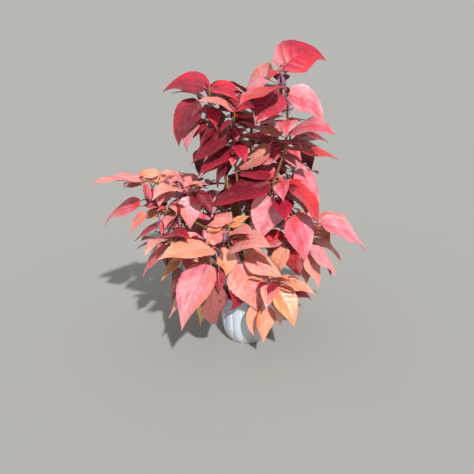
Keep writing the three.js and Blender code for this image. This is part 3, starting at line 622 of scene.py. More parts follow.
def grow_catkin(shoot):
    for _ in range(TRIES):
        if hangs(shoot, between(0.25, 0.95), between(0, 360), between(*CATKIN_LENGTHS)):
            return


print("spikes are", CATKIN_LENGTHS[0], "to", CATKIN_LENGTHS[1], "mm long")

# %% [markdown]
# The order is part of the rule: first the leaves with rows of their own, then the fillers, then the flower
# spikes. Fillers climb their stem at the golden angle, as leaves do in life, so that none stands right above
# another. Each roll of the dice has to fall as in the source.

# %% The rule in order
USUAL_DROOP = 50
USUAL_WIDTH = 0.64
USUAL_PETIOLE = 0.15
FILLER_PETIOLE = 0.22
GOLDEN_ANGLE = 137.5
USUAL = (0, USUAL_DROOP, USUAL_WIDTH, USUAL_PETIOLE)
for shoot in shoots:
    for number, row in enumerate(LEAVES.get(shoot.name, [])):
        wish = tuple(row) + USUAL[len(row) - 4:]
        leaf = grow_leaf(shoot, wish, True)
        if leaf:
            leaf.number = number
for shoot in shoots:
    count, arc_from, arc_to, rise_low, rise_high, length_low, length_high = shoot.filler
    for number in range(count):
        share = (number + 0.5) / count
        azimuth = mix(arc_from, arc_to, (GOLDEN_ANGLE * number) % 360 / 360)
        wish = (0.1 + 0.85 * share, azimuth, mix(rise_low, rise_high, share),
                mix(length_low, length_high, share), 0, USUAL_DROOP, USUAL_WIDTH, FILLER_PETIOLE)
        leaf = grow_leaf(shoot, wish, False)
        if leaf:
            leaf.number = len(LEAVES.get(shoot.name, [])) + number
for shoot in shoots:
    for _ in range(CATKINS_PER_SHOOT):
        grow_catkin(shoot)


def total(kind):
    return sum(len(getattr(shoot, kind)) for shoot in shoots)


print(total("leaves"), "leaves and", total("catkins"), "spikes")

# %% [markdown]
# The solid model stops at leaves of a hand's length. The real shrub goes on: short side twigs with young
# leaves sit close to each stem, and the tip of each stem ends in a tuft of leaves that are still opening. A
# few twigs and most of the spikes stand where the picture shows them, and the dice place the rest. All grow
# by the same crossing test, and the young leaves grow only inside the box of the solid that they stand for,
# so their reach stays the same.

# %% Finer twigs
TWIGS_PER_SHOOT = 6
TWIG_LENGTHS = (22, 42)
TWIG_RADIUS = 1.0
# Leaves on a twig: place along it, then turn aside and rise
TWIG_LEAVES = ((0.4, -75, 20), (0.65, 70, 10), (0.9, -30, 35), (1.0, 40, 30), (1.0, -5, 5))
YOUNG_LENGTHS = (30, 58)
YOUNG_WIDTHS = (0.45, 0.58)
YOUNG_PETIOLE = 0.16
TUFT_LEAVES = 4
TUFT_LENGTHS = (16, 34)
TUFT_RISE = 55
SPIKE_SCALES = (1, 0.85, 0.7)
SPIKE_TURNS = (0, 20, -20, 40, -40)
# Seen twigs: place along the stem and azimuth. Seen spikes: the same, and length
SEEN_TWIGS = {
    "left_branch": ((0.02, 0), (0.03, -50)),
    "left_middle": ((0.05, -20),),
    "right_side": ((0.3, 20),),
}
SEEN_SPIKES = {
    "crown_right": ((0.92, -100, 34), (0.95, -60, 38), (0.9, -20, 34), (0.7, -60, 45)),
    "crown_left": ((0.8, -90, 40), (0.75, -30, 36)),
    "left_branch": ((0.02, -100, 50), (0.03, -55, 56), (0.05, -10, 50), (0.12, -80, 46), (0.3, -60, 42)),
    "left_middle": ((0.2, -70, 48), (0.45, -60, 46), (0.6, -110, 40)),
    "right_side": ((0.3, -80, 52), (0.45, -30, 50), (0.15, -60, 48), (0.6, -100, 40)),
    "right_low": ((0.5, -60, 46), (0.8, -20, 40)),
    "middle": ((0.1, -100, 50), (0.3, -60, 46)),
}


def young_leaf(shoot, start, azimuth, rise, length, reach):
    for attempt in range(3):
        spread = 12 * attempt
        leaf = leaf_at(start, azimuth + spread * between(-1, 1), rise + spread * between(-1, 1), length,
                       between(-25, 25), between(25, 60), between(*YOUNG_WIDTHS), YOUNG_PETIOLE,
                       FILLER_STATIONS)
        if grows(shoot, leaf, reach):
            leaf.number = None
            return


def grow_twig(shoot, along, azimuth, reach):
    start = point_along(shoot, along)
    end = start + heading(azimuth, between(15, 50)) * between(*TWIG_LENGTHS)
    ray = end - start
    body = fat_tube([start + ray * 0.2, end], [TWIG_RADIUS] * 2, 3, shoot.name, "petiole")
    if stalk_blocked(body):
        return
    obstacles.add(body)
    shoot.twigs.append((start, start + ray * 0.5 + (0, 0, 2), end))
    for along, aside, rise in TWIG_LEAVES:
        length = mix(*YOUNG_LENGTHS, roll()) * mix(1.1, 0.75, along)
        young_leaf(shoot, start + ray * along, azimuth + aside, rise, length, reach)


for shoot in shoots:
    box_low, box_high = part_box("foliage_" + shoot.name)
    reach = (np.array(box_low) / MM, np.array(box_high) / MM)
    for along, azimuth in SEEN_TWIGS.get(shoot.name, ()):
        grow_twig(shoot, along, azimuth, reach)
    for along, azimuth, length in SEEN_SPIKES.get(shoot.name, ()):
        tries = ((length * scale, azimuth + turn) for scale in SPIKE_SCALES for turn in SPIKE_TURNS)
        any(hangs(shoot, along, turned, shorter) for shorter, turned in tries)
    for number in range(TWIGS_PER_SHOOT):
        grow_twig(shoot, between(0.05, 0.85), GOLDEN_ANGLE * number + between(0, 60), reach)
    for number in range(TUFT_LEAVES):
        young_leaf(shoot, point_along(shoot, 1), GOLDEN_ANGLE * number, TUFT_RISE,
                   between(*TUFT_LENGTHS), reach)
    grow_catkin(shoot)
print("now", total("leaves"), "leaves,", total("twigs"), "twigs and", total("catkins"), "spikes")

# %% [markdown]
# Materials are written as Python expressions. One small class holds a socket of a node tree and turns +, -
# and * into Math nodes. Colours don't go through it, because a Math node turns them grey: they go through
# Mix.

# %% Shader tools


class Value:
    """A number in a shader that changes over the surface."""

    def __init__(self, tree, socket):
        self.tree, self.socket = tree, socket

    def maths(self, operation, first, second):
        node = add_node(self.tree, "ShaderNodeMath", {"operation": operation}, first, second)
        return Value(self.tree, node.outputs[0])

    def __add__(self, other):
        return self.maths("ADD", self, other)

    def __sub__(self, other):
        return self.maths("SUBTRACT", self, other)

    def __mul__(self, other):
        return self.maths("MULTIPLY", self, other)

    def __rsub__(self, other):
        return self.maths("SUBTRACT", other, self)

    __radd__ = __add__
    __rmul__ = __mul__

    def between(self, low, high):
        """0 below low, 1 above high and smooth between them."""
        settings = {"interpolation_type": "SMOOTHSTEP"}
        node = add_node(self.tree, "ShaderNodeMapRange", settings, self, low, high)
        return Value(self.tree, node.outputs[0])


def feed(tree, socket, value):
    """Links an input to what drives it, or sets it to a plain value."""
    value = value.socket if isinstance(value, Value) else value
    if isinstance(value, bpy.types.NodeSocket):
        tree.links.new(value, socket)
    else:
        socket.default_value = value


def add_node(tree, kind, settings, *inputs, **named):
    """A node with its settings, then its inputs in order or by name."""
    node = tree.nodes.new(kind)
    for key, value in settings.items():
        setattr(node, key, value)
    for number, value in enumerate(inputs):
        feed(tree, node.inputs[number], value)
    for key, value in named.items():
        feed(tree, node.inputs[key.replace("_", " ")], value)
    return node


def linear(red, green, blue):
    """A colour as a screen shows it, 0 to 255, turned into the linear numbers that a shader takes."""
    shares = [channel / 255 for channel in (red, green, blue)]
    return tuple(s / 12.92 if s <= 0.04045 else ((s + 0.055) / 1.055) ** 2.4 for s in shares) + (1,)


print("a screen's mid grey is", round(linear(128, 128, 128)[0], 3), "to a shader")

# %% [markdown]
# A finish is one Principled shader and the patterns that drive it. Every pattern reads the piece's Object
# coordinates or an attribute of its own mesh, so it holds still in any view.

# %% Finishes


class Finish:
    """A material in the making. Constants go on the shader's own sockets."""

    def __init__(self, name, **constants):
        self.material = bpy.data.materials.new(name)
        self.material.use_nodes = True
        self.tree = self.material.node_tree
        self.shader = self.tree.nodes["Principled BSDF"]
        self.place = add_node(self.tree, "ShaderNodeTexCoord", {}).outputs["Object"]
        for key, value in constants.items():
            self.shader.inputs[key.replace("_", " ")].default_value = value

    def stretched(self, x, y, z):
        return add_node(self.tree, "ShaderNodeMapping", {}, self.place, Scale=(x, y, z)).outputs[0]

    def noise(self, scale, detail=3, place=None):
        place = place or self.place
        node = add_node(self.tree, "ShaderNodeTexNoise", {}, Vector=place, Scale=scale, Detail=detail)
        return Value(self.tree, node.outputs[0])

    def cells(self, scale):
        node = add_node(self.tree, "ShaderNodeTexVoronoi", {}, Vector=self.place, Scale=scale)
        return Value(self.tree, node.outputs["Distance"])

    def attribute(self, name):
        node = add_node(self.tree, "ShaderNodeAttribute", {"attribute_name": name})
        return Value(self.tree, node.outputs["Fac"])

    def height(self):
        return Value(self.tree, add_node(self.tree, "ShaderNodeSeparateXYZ", {}, self.place).outputs[2])

    def blend(self, share, first, second):
        """A colour between two. Sockets 6 and 7 of a Mix node are its two colours."""
        node = add_node(self.tree, "ShaderNodeMix", {"data_type": "RGBA"}, share)
        feed(self.tree, node.inputs[6], first)
        feed(self.tree, node.inputs[7], second)
        return node.outputs[2]

    def drive(self, name, value):
        feed(self.tree, self.shader.inputs[name], value)

    def bump(self, height, strength, distance):
        node = add_node(self.tree, "ShaderNodeBump", {}, Strength=strength, Distance=distance, Height=height)
        self.drive("Normal", node.outputs[0])


print("one shader for each finish")

# %% [markdown]
# Each piece is made from arrays of points and faces, which is far quicker than adding objects one by one.
# Tubes and leaves that share a finish are gathered into one bundle first.

# %% Pieces


class Bundle:
    """Points and faces of many small things that become one piece."""

    def __init__(self):
        self.points, self.faces, self.count = [], [], 0

    def add(self, points, faces):
        self.faces.append(faces + self.count)
        self.points.append(points)
        self.count += len(points)

    def shape(self):
        return np.concatenate(self.points), np.concatenate(self.faces)


def add_piece(name, points, faces, materials=(), slots=None, sharp=50):
    """A mesh object from points in millimetres. Edges that bend by more than sharp degrees stay crisp."""
    mesh = bpy.data.meshes.new(name)
    faces = faces.tolist() if isinstance(faces, np.ndarray) else faces
    mesh.from_pydata((np.asarray(points) * MM).tolist(), [], faces)
    for material in materials:
        mesh.materials.append(material)
    if slots is not None:
        mesh.polygons.foreach_set("material_index", np.asarray(slots, np.int32))
    mesh.shade_smooth()
    mesh.set_sharp_from_angle(angle=math.radians(sharp))
    mesh.update()
    piece = bpy.data.objects.new(name, mesh)
    scene.collection.objects.link(piece)
    return piece


def ready_mesh(piece):
    """The piece's mesh with its modifiers applied, which are then gone."""
    done = bpy.data.meshes.new_from_object(piece.evaluated_get(bpy.context.evaluated_depsgraph_get()))
    piece.modifiers.clear()
    piece.data = done
    return piece


print("pieces come from arrays in millimetres")

# %% [markdown]
# Copperleaf earns its name: each leaf is blotched in reds, pinks and oranges, and the plant as a whole turns
# from crimson at the top to salmon and apricot at the foot. A colour texture would be lost on hundreds of
# small leaves when the model is exported. So the colours are plain tones on one scale, from maroon to gold,
# with one tone of painted shade below maroon: a salmon leaf as it looks in shade, for leaves in shade. A
# spray of leaves gets a list of tones, and within a leaf the faces wander a little along the scale: redder at
# the foot and the veins, and paler towards the margin, which is partly the leaf's own paler margin and partly
# a painted highlight along the edge.

# %% Tones
# The first tone is painted shade: a salmon leaf as it looks in shade.
TONES = {
    "dusk": (160, 90, 86), "maroon": (116, 22, 42), "crimson": (156, 28, 52), "ruby": (194, 26, 62),
    "red": (212, 50, 48), "rose": (216, 100, 120), "pink": (228, 154, 164), "coral": (230, 128, 118),
    "salmon": (234, 158, 150), "peach": (244, 168, 138), "orange": (232, 128, 88), "apricot": (246, 182, 122),
    "gold": (242, 198, 120),
}
STEPS_PER_TONE = 3
UPPER_ROUGHNESS = 0.42
UNDER_ROUGHNESS = 0.6
tone_names = list(TONES)
tone_count = (len(TONES) - 1) * STEPS_PER_TONE + 1
UNDERSIDES = {"wine": (112, 34, 50), "dusky_rose": (160, 72, 80), "dusky_salmon": (190, 104, 88)}

# The words follow the rows of the leaves. Fillers and young leaves go on through the list and round again.
# Some words paint light and shade: leaves that stand in shade got darker words than their own colour, the
# painted-shade salmon and some of the maroons and crimsons, and a few leaves that the sun here leaves in shade
# got paler words than their own, which paint light onto them.
SPRAY_TONES = {
    "crown_right": "ruby rose pink rose red crimson salmon pink coral rose "
                   "pink red red rose rose crimson ruby rose crimson rose crimson",
    "crown_left": "crimson maroon pink maroon ruby crimson ruby rose crimson rose crimson ruby",
    "crown_centre": "maroon crimson coral red crimson ruby red "
                    "rose crimson ruby crimson crimson rose crimson ruby",
    "left_branch": "pink coral peach coral peach pink rose salmon rose coral rose coral maroon crimson",
    "left_middle": "rose apricot ruby coral coral rose crimson coral rose",
    "left_low": "salmon rose crimson maroon apricot rose crimson coral rose",
    "right_side": "pink rose red crimson crimson maroon rose",
    "right_low": "pink salmon pink rose peach coral rose crimson rose",
    "front_centre": "salmon salmon peach apricot coral salmon salmon rose coral peach crimson coral",
    "front_left": "pink peach peach dusk apricot peach crimson coral crimson",
    "front_right": "orange peach peach peach salmon peach coral crimson",
    "middle": "pink maroon crimson crimson rose ruby crimson rose crimson crimson rose",
    "back_centre": "crimson red rose ruby",
    "back_right": "rose pink crimson coral red",
    "back_left": "rose crimson pink coral ruby",
    "low_back": "salmon peach coral apricot",
    "low_back_right": "salmon coral peach pink",
    "low_back_left": "salmon pink peach coral",
}


def leaf_finish(name, colour, roughness):
    finish = Finish(name, Base_Color=linear(*colour), Roughness=roughness, Specular_IOR_Level=0.65,
                    Sheen_Weight=0.12, Sheen_Roughness=0.4, Subsurface_Weight=0.12,
                    Subsurface_Radius=(0.9, 0.25, 0.2), Subsurface_Scale=0.002)
    grain = finish.noise(900, 2) * 0.6 + finish.cells(420) * 0.8
    finish.bump(grain, 0.22, 0.0005)
    return finish.material


def tone_colour(step):
    place = step / STEPS_PER_TONE
    low = min(int(place), len(TONES) - 2)
    return [mix(a, b, place - low) for a, b in zip(TONES[tone_names[low]], TONES[tone_names[low + 1]])]


leaf_materials = [leaf_finish(f"leaf_tone_{step:02d}", tone_colour(step), UPPER_ROUGHNESS)
                  for step in range(tone_count)]
leaf_materials += [leaf_finish("leaf_under_" + name, colour, UNDER_ROUGHNESS)
                   for name, colour in UNDERSIDES.items()]
print(tone_count, "tones and", len(UNDERSIDES), "undersides")

# %% [markdown]
# One leaf is a thin closed shell on a grid. The grid's rows follow the side veins, which leave the midrib and
# sweep forward to the margin, so a vein is a narrow strip of faces and ends in a tooth. A flat card with a
# picture of a leaf would be far lighter, but it has no relief and the export would lose its picture.

# %% Leaf grid
# Each vein has steps of the grid: a place between it and the next, and the depth of the margin's notch there
BIG_LEAF = SimpleNamespace(
    veins=7,
    steps=((0, 0), (0.08, 0.012), (0.36, 0.05), (0.62, 0.008), (0.84, 0.045)),
    columns=(0.04, 0.17, 0.38, 0.62, 0.85, 1),
)
YOUNG_LEAF = SimpleNamespace(veins=5, steps=((0, 0), (0.5, 0.05)), columns=(0.05, 0.4, 0.75, 1))
FIRST_ROW = 0.004
LAST_ROW = 0.985


def leaf_grid(kind):
    """Row places with the depth of their notch and whether a vein runs there, and column places."""
    rows = [(FIRST_ROW, 0, False)]
    for vein in range(kind.veins):
        for step, notch in kind.steps:
            place = (vein + step) / kind.veins
            if place > 0.01:
                rows.append((place, notch, vein > 0 and step < 0.1))
    rows.append((LAST_ROW, 0, False))
    place, notch, vein = (np.array(values) for values in zip(*rows))
    columns = np.array([-c for c in reversed(kind.columns)] + [0] + list(kind.columns))
    return place, notch, vein.astype(bool), columns


print("rows and columns of a big leaf", [len(part) for part in leaf_grid(BIG_LEAF)[2:]],
      "and a young one", [len(part) for part in leaf_grid(YOUNG_LEAF)[2:]])

# %% [markdown]
# Between the veins a blade rises into soft cushions, which give the bright stripes that the picture shows.
# The halves fold up a little from the midrib, the margin waves, and the point curls down. All of this is one
# height over the grid, and half the shell's thickness goes above it and half below.

# %% Leaf mesh
SWEEP = 0.5
SHELL = 0.9
MARGIN = 0.5
FARTHEST = 0.998
CUSHION_HEIGHT = 0.007
CURL_START = 0.6
VEIN_GROOVE = 0.25
VEIN_RIDGE = 0.4
MIDRIB_GROOVE = 0.4
MIDRIB_RIDGE = 1.1


def shell_faces(number):
    """Faces of a closed shell: the grid on top, the same grid below and a strip round the rim."""
    corners = (number[:-1, :-1], number[:-1, 1:], number[1:, 1:], number[1:, :-1])
    a, b, c, d = (corner.ravel() for corner in corners)
    under = number.size
    rim = np.concatenate([number[0], number[1:, -1], number[-1, -2::-1], number[-2:0:-1, 0]])
    after = np.roll(rim, -1)
    return np.concatenate([np.stack([a, d, c, b], 1), np.stack([a, b, c, d], 1) + under,
                           np.stack([rim, after, after + under, rim + under], 1)])


def leaf_mesh(leaf):
    """Points, faces and the tone of each face of one leaf."""
    kind = YOUNG_LEAF if leaf.number is None else BIG_LEAF
    place, notch, vein, columns = leaf_grid(kind)
    row, across = np.meshgrid(place, columns, indexing="ij")
    out = np.abs(across)
    t = row + SWEEP * (1 - row) * row ** 0.5 * out ** 1.2 * (1 - row ** 6)
    t = np.minimum(t, FARTHEST)
    half = leaf.length * leaf.width / 2 * outline(t)
    half = half * (1 - notch[:, None] * out ** 4)
    point, side, normal = midrib(leaf, t)
    cushion = np.sin(np.pi * ((row * kind.veins) % 1)) ** 0.8 * np.minimum(out / 0.15, 1) * (1 - out ** 2.5)
    swing = np.sin(2 * np.pi * (leaf.waves * t + leaf.phase + 0.3 * np.sign(across)))
    wave = swing * out ** 2.2 * np.sin(np.pi * t)
    curl = leaf.curl * np.maximum(t - CURL_START, 0) ** 2
    height = half * math.tan(math.radians(leaf.fold)) * (out ** 1.3 - 0.45)
    height += leaf.length * (CUSHION_HEIGHT * cushion + leaf.ripple * wave - curl)
    vein_share = vein[:, None] * (1 - 0.6 * out) * (out < 0.99)
    rib_share = (out < 0.01) * (1 - 0.7 * t)
    thick = np.where(out > 0.99, MARGIN, SHELL) * leaf.scale
    above = height + thick / 2 - VEIN_GROOVE * vein_share - MIDRIB_GROOVE * rib_share
    below = height - thick / 2 - VEIN_RIDGE * vein_share * leaf.scale - MIDRIB_RIDGE * rib_share
    sickle = side * (leaf.sickle * leaf.length * t ** 2)[..., None]
    middle = point + sickle + side * (across * half)[..., None]
    sheets = [(middle + normal * lift[..., None]).reshape(-1, 3) for lift in (above, below)]
    faces = shell_faces(np.arange(row.size).reshape(row.shape))
    return np.concatenate(sheets), faces, leaf_tones(leaf, t, across, vein)


print("a blade is", SHELL, "mm thick and", MARGIN, "mm at its margin")

# %% [markdown]
# Within a leaf the tone wanders in smooth blotches. It is redder at the foot, paler towards the margin, and a
# little off along the veins: lighter on dark leaves and darker on light ones. The paling towards the margin is
# partly the leaf's own paler margin and partly a painted highlight along the edge. Each face takes the nearest
# step of the scale.

# %% Leaf tones
MIDRIB_SHARE = 0.04
BLOTCH = 0.45
FOOT_RED = 0.9
SPECKLE = 0.12
DARK_TONES = 4
VEIN_SHIFTS = (0.4, -0.3)
UNDERSIDE_LIMITS = (3.5, 7)


def leaf_tones(leaf, t, across, vein):
    """The material slot of each face: a place on the scale of tones above, one underside below."""
    def centre(values):
        return (values[:-1, :-1] + values[:-1, 1:] + values[1:, 1:] + values[1:, :-1]) / 4

    along, aside = centre(t), centre(across)
    out = np.abs(aside)
    strip = (vein[:-1] & vein[1:])[:, None] & (out < 0.9)
    rib = out < MIDRIB_SHARE
    blotch = np.sin(7 * aside + 5 * along + 6 * leaf.phase) * np.cos(11 * along - 4 * aside + 9 * leaf.phase)
    # Paler towards the margin: partly the leaf's own colour, partly a painted highlight along the edge.
    tone = leaf.tone + leaf.paling * (out - 0.45) + leaf.tilt * aside + BLOTCH * blotch
    tone = tone - FOOT_RED * np.exp(-along * 9) + np.where(strip | rib, leaf.vein_shift, 0)
    tone = tone + chance.uniform(-SPECKLE, SPECKLE, out.shape)
    slots = np.clip(np.round(tone * STEPS_PER_TONE), 0, tone_count - 1).astype(int).ravel()
    below = tone_count + int(np.digitize(leaf.tone, UNDERSIDE_LIMITS))
    rim = 2 * (across.shape[0] + across.shape[1]) - 4
    return np.concatenate([slots, np.full(slots.size, below), np.full(rim, int(np.median(slots)))])


print("the scale has", tone_count, "steps")

# %% [markdown]
# No two leaves are alike, so each one rolls its own fold, waves, curl and tone. The leaves of one spray
# become one piece that stands in for the solid of that spray, with only the materials that it uses.

# %% Leaves
LEAF_SEED = 21
TONE_DRIFT = 0.35
LEAF_RANGES = {
    "fold": (4, 11), "waves": (1.2, 2.1), "ripple": (0.012, 0.024), "phase": (0, 1), "curl": (0, 0.35),
    "sickle": (-0.035, 0.035), "paling": (0.3, 1.1), "tilt": (-0.8, 0.8),
}
chance = np.random.default_rng(LEAF_SEED)


def dress(leaf, tones):
    """Gives a leaf its own tone, fold and waves. A young leaf takes any tone of its spray."""
    number = int(chance.integers(len(tones))) if leaf.number is None else leaf.number
    leaf.tone = tone_names.index(tones[number % len(tones)]) + chance.uniform(-TONE_DRIFT, TONE_DRIFT)
    for name, limits in LEAF_RANGES.items():
        setattr(leaf, name, chance.uniform(*limits))
    leaf.vein_shift = VEIN_SHIFTS[0] if leaf.tone < DARK_TONES else VEIN_SHIFTS[1]
    leaf.scale = min(1, max(leaf.length / 100, 0.5))


faces_of_leaves = 0
for shoot in shoots:
    tones = SPRAY_TONES[shoot.name].split()
    spray, slots = Bundle(), []
    for leaf in shoot.leaves:
        dress(leaf, tones)
        points, faces, leaf_slots = leaf_mesh(leaf)
        spray.add(points, faces)
        slots.append(leaf_slots)
    used, slots = np.unique(np.concatenate(slots), return_inverse=True)
    materials = [leaf_materials[index] for index in used]
    piece = add_piece("leaves_" + shoot.name, *spray.shape(), materials, slots)
    node = "foliage_" + shoot.name
    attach(piece, "root")
    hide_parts(node)
    faces_of_leaves += 2 * len(piece.data.polygons)
print("leaves hold", faces_of_leaves, "triangles")

# %% [markdown]
# Stems, side twigs and petioles are green wood, smooth and a little hairy, with a swelling where each leaf
# joins. They are tubes along the same bends that the rule used. All of them together are one piece, as they
# share a finish.

# %% Stems, twigs and petioles
STEM_STEPS = 40
STEM_OVERLAP = 5
SWELLING = 0.45
SWELLING_REACH = 3.2
TWIG_STEPS = 7
PETIOLE_BOW = 0.006
PETIOLE_RADII = np.array((1.7, 1.25, 1.1, 1.05, 1.05, 1.15, 1.4, 0.5))
STEM_AGE, TWIG_AGE, PETIOLE_AGE = 0.45, 0.8, 1.0
green_wood, green_ages = Bundle(), []


def add_tube(path, radii, sides, age):
    points, faces = tube(path, radii, sides)
    green_wood.add(points, faces)
    green_ages.append(np.full(len(points), age))


def along_bend(curve, count):
    return [bend(*curve, t) for t in np.linspace(0, 1, count)]


for shoot in shoots:
    foot, via, _ = shoot.curve
    path = [foot - unit(via - foot) * STEM_OVERLAP] + along_bend(shoot.curve, STEM_STEPS)
    shares = np.concatenate([[0], np.linspace(0, 1, STEM_STEPS)])
    joints = [leaf.start for leaf in shoot.leaves if leaf.number is not None]
    distances = [np.linalg.norm(np.array(path) - joint, axis=1) for joint in joints]
    swelling = sum(SWELLING * np.exp(-(far / SWELLING_REACH) ** 2) for far in distances)
    radii = mix(STEM_FOOT_RADIUS + 0.3, STEM_TIP_RADIUS, shares) + np.minimum(swelling, 0.8)
    radii[-1] = 0.6
    add_tube(path, radii, 9, STEM_AGE)
    for curve in shoot.twigs:
        add_tube(along_bend(curve, TWIG_STEPS), np.linspace(1.2, 0.7, TWIG_STEPS), 6, TWIG_AGE)
    for leaf in shoot.leaves:
        bow = np.array((0, 0, PETIOLE_BOW * leaf.length))
        curve = (leaf.start, (leaf.start + leaf.base) / 2 + bow, leaf.base)
        path = along_bend(curve, len(PETIOLE_RADII) - 1) + [midrib(leaf, 0.03)[0]]
        add_tube(path, PETIOLE_RADII * min(1, max(leaf.length / 110, 0.35)), 7, PETIOLE_AGE)
print(total("leaves"), "petioles and", total("twigs"), "twigs in one bundle")

# %% [markdown]
# Young bark is olive where it is oldest and flushes red towards the petioles. One attribute, age, says how
# far along each tube is, and the finish blends its colours by it.

# %% Young bark
green = Finish("young_bark", Roughness=0.5)
age = green.attribute("age")
flush = green.noise(60).between(0.4, 0.65)
olive = green.blend(flush, linear(118, 112, 52), linear(150, 88, 60))
red_stalk = green.blend(flush, linear(158, 60, 62), linear(188, 104, 84))
green.drive("Base Color", green.blend(age.between(0.4, 0.95), olive, red_stalk))
green.bump(green.noise(1400), 0.3, 0.0004)

stems = add_piece("stems_and_petioles", *green_wood.shape(), [green.material])
stems.data.attributes.new("age", "FLOAT", "POINT").data.foreach_set("value", np.concatenate(green_ages))
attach(stems, "root")
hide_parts(*("foliage_" + shoot.name for shoot in shoots))
print("stems", len(stems.data.polygons), "triangles")

# %% [markdown]
# The trunk and the boughs are one skin in life: a bough swells out of the trunk without a seam. Tubes pushed
# into each other would show a hard ring there. A voxel remesh turns them into one closed skin, and a few
# rounds of smoothing fill the crotches.

# %% Trunk and boughs
VOXEL = 1.3
SMOOTHINGS = 3
FLARE = 7
FLARE_REACH = 11
FLARE_LOBES = 5
TRUNK_SIDES = 30
TRUNK_STEPS = 22
BOUGH_STEPS = 26
BOUGH_SIDES = 12
COLLAR = 0.35
COLLAR_REACH = 9
wood = Bundle()
trunk = limbs["trunk"]
trunk_rings = []
for t in np.linspace(-0.06, 1.03, TRUNK_STEPS):
    x, y, z = bend(*trunk.curve, t)
    flare = FLARE * math.exp(-(z - SOIL_LEVEL) / FLARE_REACH)
    turns = np.linspace(0, 2 * math.pi, TRUNK_SIDES, endpoint=False)
    radius = mix(*trunk.ends, t) + np.minimum(flare, 8) * (1 + 0.35 * np.cos(FLARE_LOBES * turns))
    radius = radius * (1 if t < 1 else 0.8)
    ring = np.stack([x + radius * np.cos(turns), y + radius * np.sin(turns), np.full(TRUNK_SIDES, z)], 1)
    trunk_rings.append(ring)
wood.add(*closed(trunk_rings))
for name, *_ in BOUGHS:
    limb = limbs[name]
    shares = np.linspace(0, 1, BOUGH_STEPS)
    foot, _, tip = limb.curve
    run = shares * math.sqrt((tip - foot) @ (tip - foot))
    radii = mix(*limb.ends, shares) + COLLAR * limb.ends[0] * np.exp(-run / COLLAR_REACH)
    wood.add(*tube(along_bend(limb.curve, BOUGH_STEPS), radii, BOUGH_SIDES))

bark = add_piece("trunk_and_boughs", *wood.shape())
remesh = bark.modifiers.new("one skin", "REMESH")
remesh.mode = "VOXEL"
remesh.voxel_size = VOXEL * MM
soften = bark.modifiers.new("soften", "SMOOTH")
soften.iterations = SMOOTHINGS
ready_mesh(bark)
print("one skin of", len(bark.data.vertices), "points")

# %% [markdown]
# Bark is made by moving the skin's points along their normals: fissures on the old wood low down, knobs, and
# leaf scars at even steps higher up. Each point needs to know which limb it is on and how far along, so it
# looks up the nearest of many points on the limbs' middle lines.

# %% Bark relief
SPINE_STEPS = 90
SCAR_SPACING = 24
SCAR_SHIFT = 5
FISSURE_DEPTH = 0.45
KNOB_HEIGHT = 0.5
SCAR_HEIGHT = 0.4
spine = []
for index, (name, limb) in enumerate(limbs.items()):
    path = np.array(along_bend(limb.curve, SPINE_STEPS))
    run = np.concatenate([[0], np.cumsum(np.linalg.norm(np.diff(path, axis=0), axis=1))])
    shares = np.linspace(0, 1, SPINE_STEPS)
    years = 0.08 * shares if name == "trunk" else 0.12 + 0.88 * shares
    spine += [(place, index, distance, year) for place, distance, year in zip(path, run, years)]
tree = kdtree.KDTree(len(spine))
for index, (place, *_) in enumerate(spine):
    tree.insert(Vector(place * MM), index)
tree.balance()
places = np.empty(len(bark.data.vertices) * 3)
bark.data.vertices.foreach_get("co", places)
places = places.reshape(-1, 3)
normals = np.array([vertex.normal for vertex in bark.data.vertices])
nearest = [tree.find(place)[1] for place in places]
limb_number, run, years = (np.array([spine[index][field] for index in nearest]) for field in (1, 2, 3))
fissures = np.array([noise.noise(Vector((x * 420, y * 420, z * 110))) for x, y, z in places])
knobs = np.array([noise.noise(Vector(place) * 90 + Vector((7, 0, 0))) for place in places])
from_scar = (run + SCAR_SHIFT * limb_number) % SCAR_SPACING - SCAR_SPACING / 2
scars = np.exp(-(from_scar / 1.3) ** 2) * (years > 0.1)
relief = FISSURE_DEPTH * fissures * np.clip(1 - 1.6 * years, 0.15, 1)
relief += KNOB_HEIGHT * knobs * (1 - 0.8 * years)
relief += SCAR_HEIGHT * scars * (0.6 + 0.8 * knobs)
moved = places + normals * relief[:, None] * MM
bark.data.vertices.foreach_set("co", moved.ravel())
bark.data.attributes.new("age", "FLOAT", "POINT").data.foreach_set("value", years)
bark.data.shade_smooth()
print("relief from", round(relief.min(), 2), "to", round(relief.max(), 2), "mm")

# %% [markdown]
# Old bark is grey-brown, young bark olive, and the last part of a bough turns reddish like its stem. Pale
# lenticels, the pores of bark, are the small cells of a Voronoi pattern.

# %% Bark colour
finish = Finish("bark", Roughness=0.8)
age = finish.attribute("age")
fine = finish.noise(160, 5, finish.stretched(1, 1, 0.3))
old_bark = finish.blend(fine.between(0.35, 0.65), linear(92, 76, 58), linear(150, 134, 108))
young_bark = finish.blend(fine.between(0.35, 0.7), linear(96, 96, 48), linear(140, 120, 68))
lenticels = 1 - finish.cells(260).between(0.12, 0.2)
skin_colour = finish.blend(age.between(0.15, 0.55), old_bark, young_bark)
skin_colour = finish.blend(age.between(0.75, 1.0), skin_colour, linear(140, 84, 58))
finish.drive("Base Color", finish.blend(lenticels * 0.6, skin_colour, linear(176, 160, 128)))
finish.drive("Roughness", 0.62 + fine * 0.3)
finish.bump(fine + lenticels * 0.3, 0.6, 0.0008)
bark.data.materials.append(finish.material)
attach(bark, "root")
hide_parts("trunk", *("bough_" + name for name, *_ in BOUGHS))
print("bark", len(bark.data.polygons), "faces")

# %% [markdown]
# Geometry Nodes scatter grains over a surface: the tiny flowers that cover a spike, and the crumbs on the
# soil. The tree is made once, with inputs for how dense, how big, how finely rounded and which seed. It
# realizes its instances, dents them and sets their material, because only real faces are exported.

# %% Grains
SCATTER_INPUTS = {
    "Surface": "Geometry", "Density": "Float", "Size": "Float", "Flatness": "Float", "Lumps": "Float",
    "Detail": "Int", "Seed": "Int", "Material": "Material",
}
SMALLEST, LARGEST = 0.45, 1.25
DENT_SCALE = 700


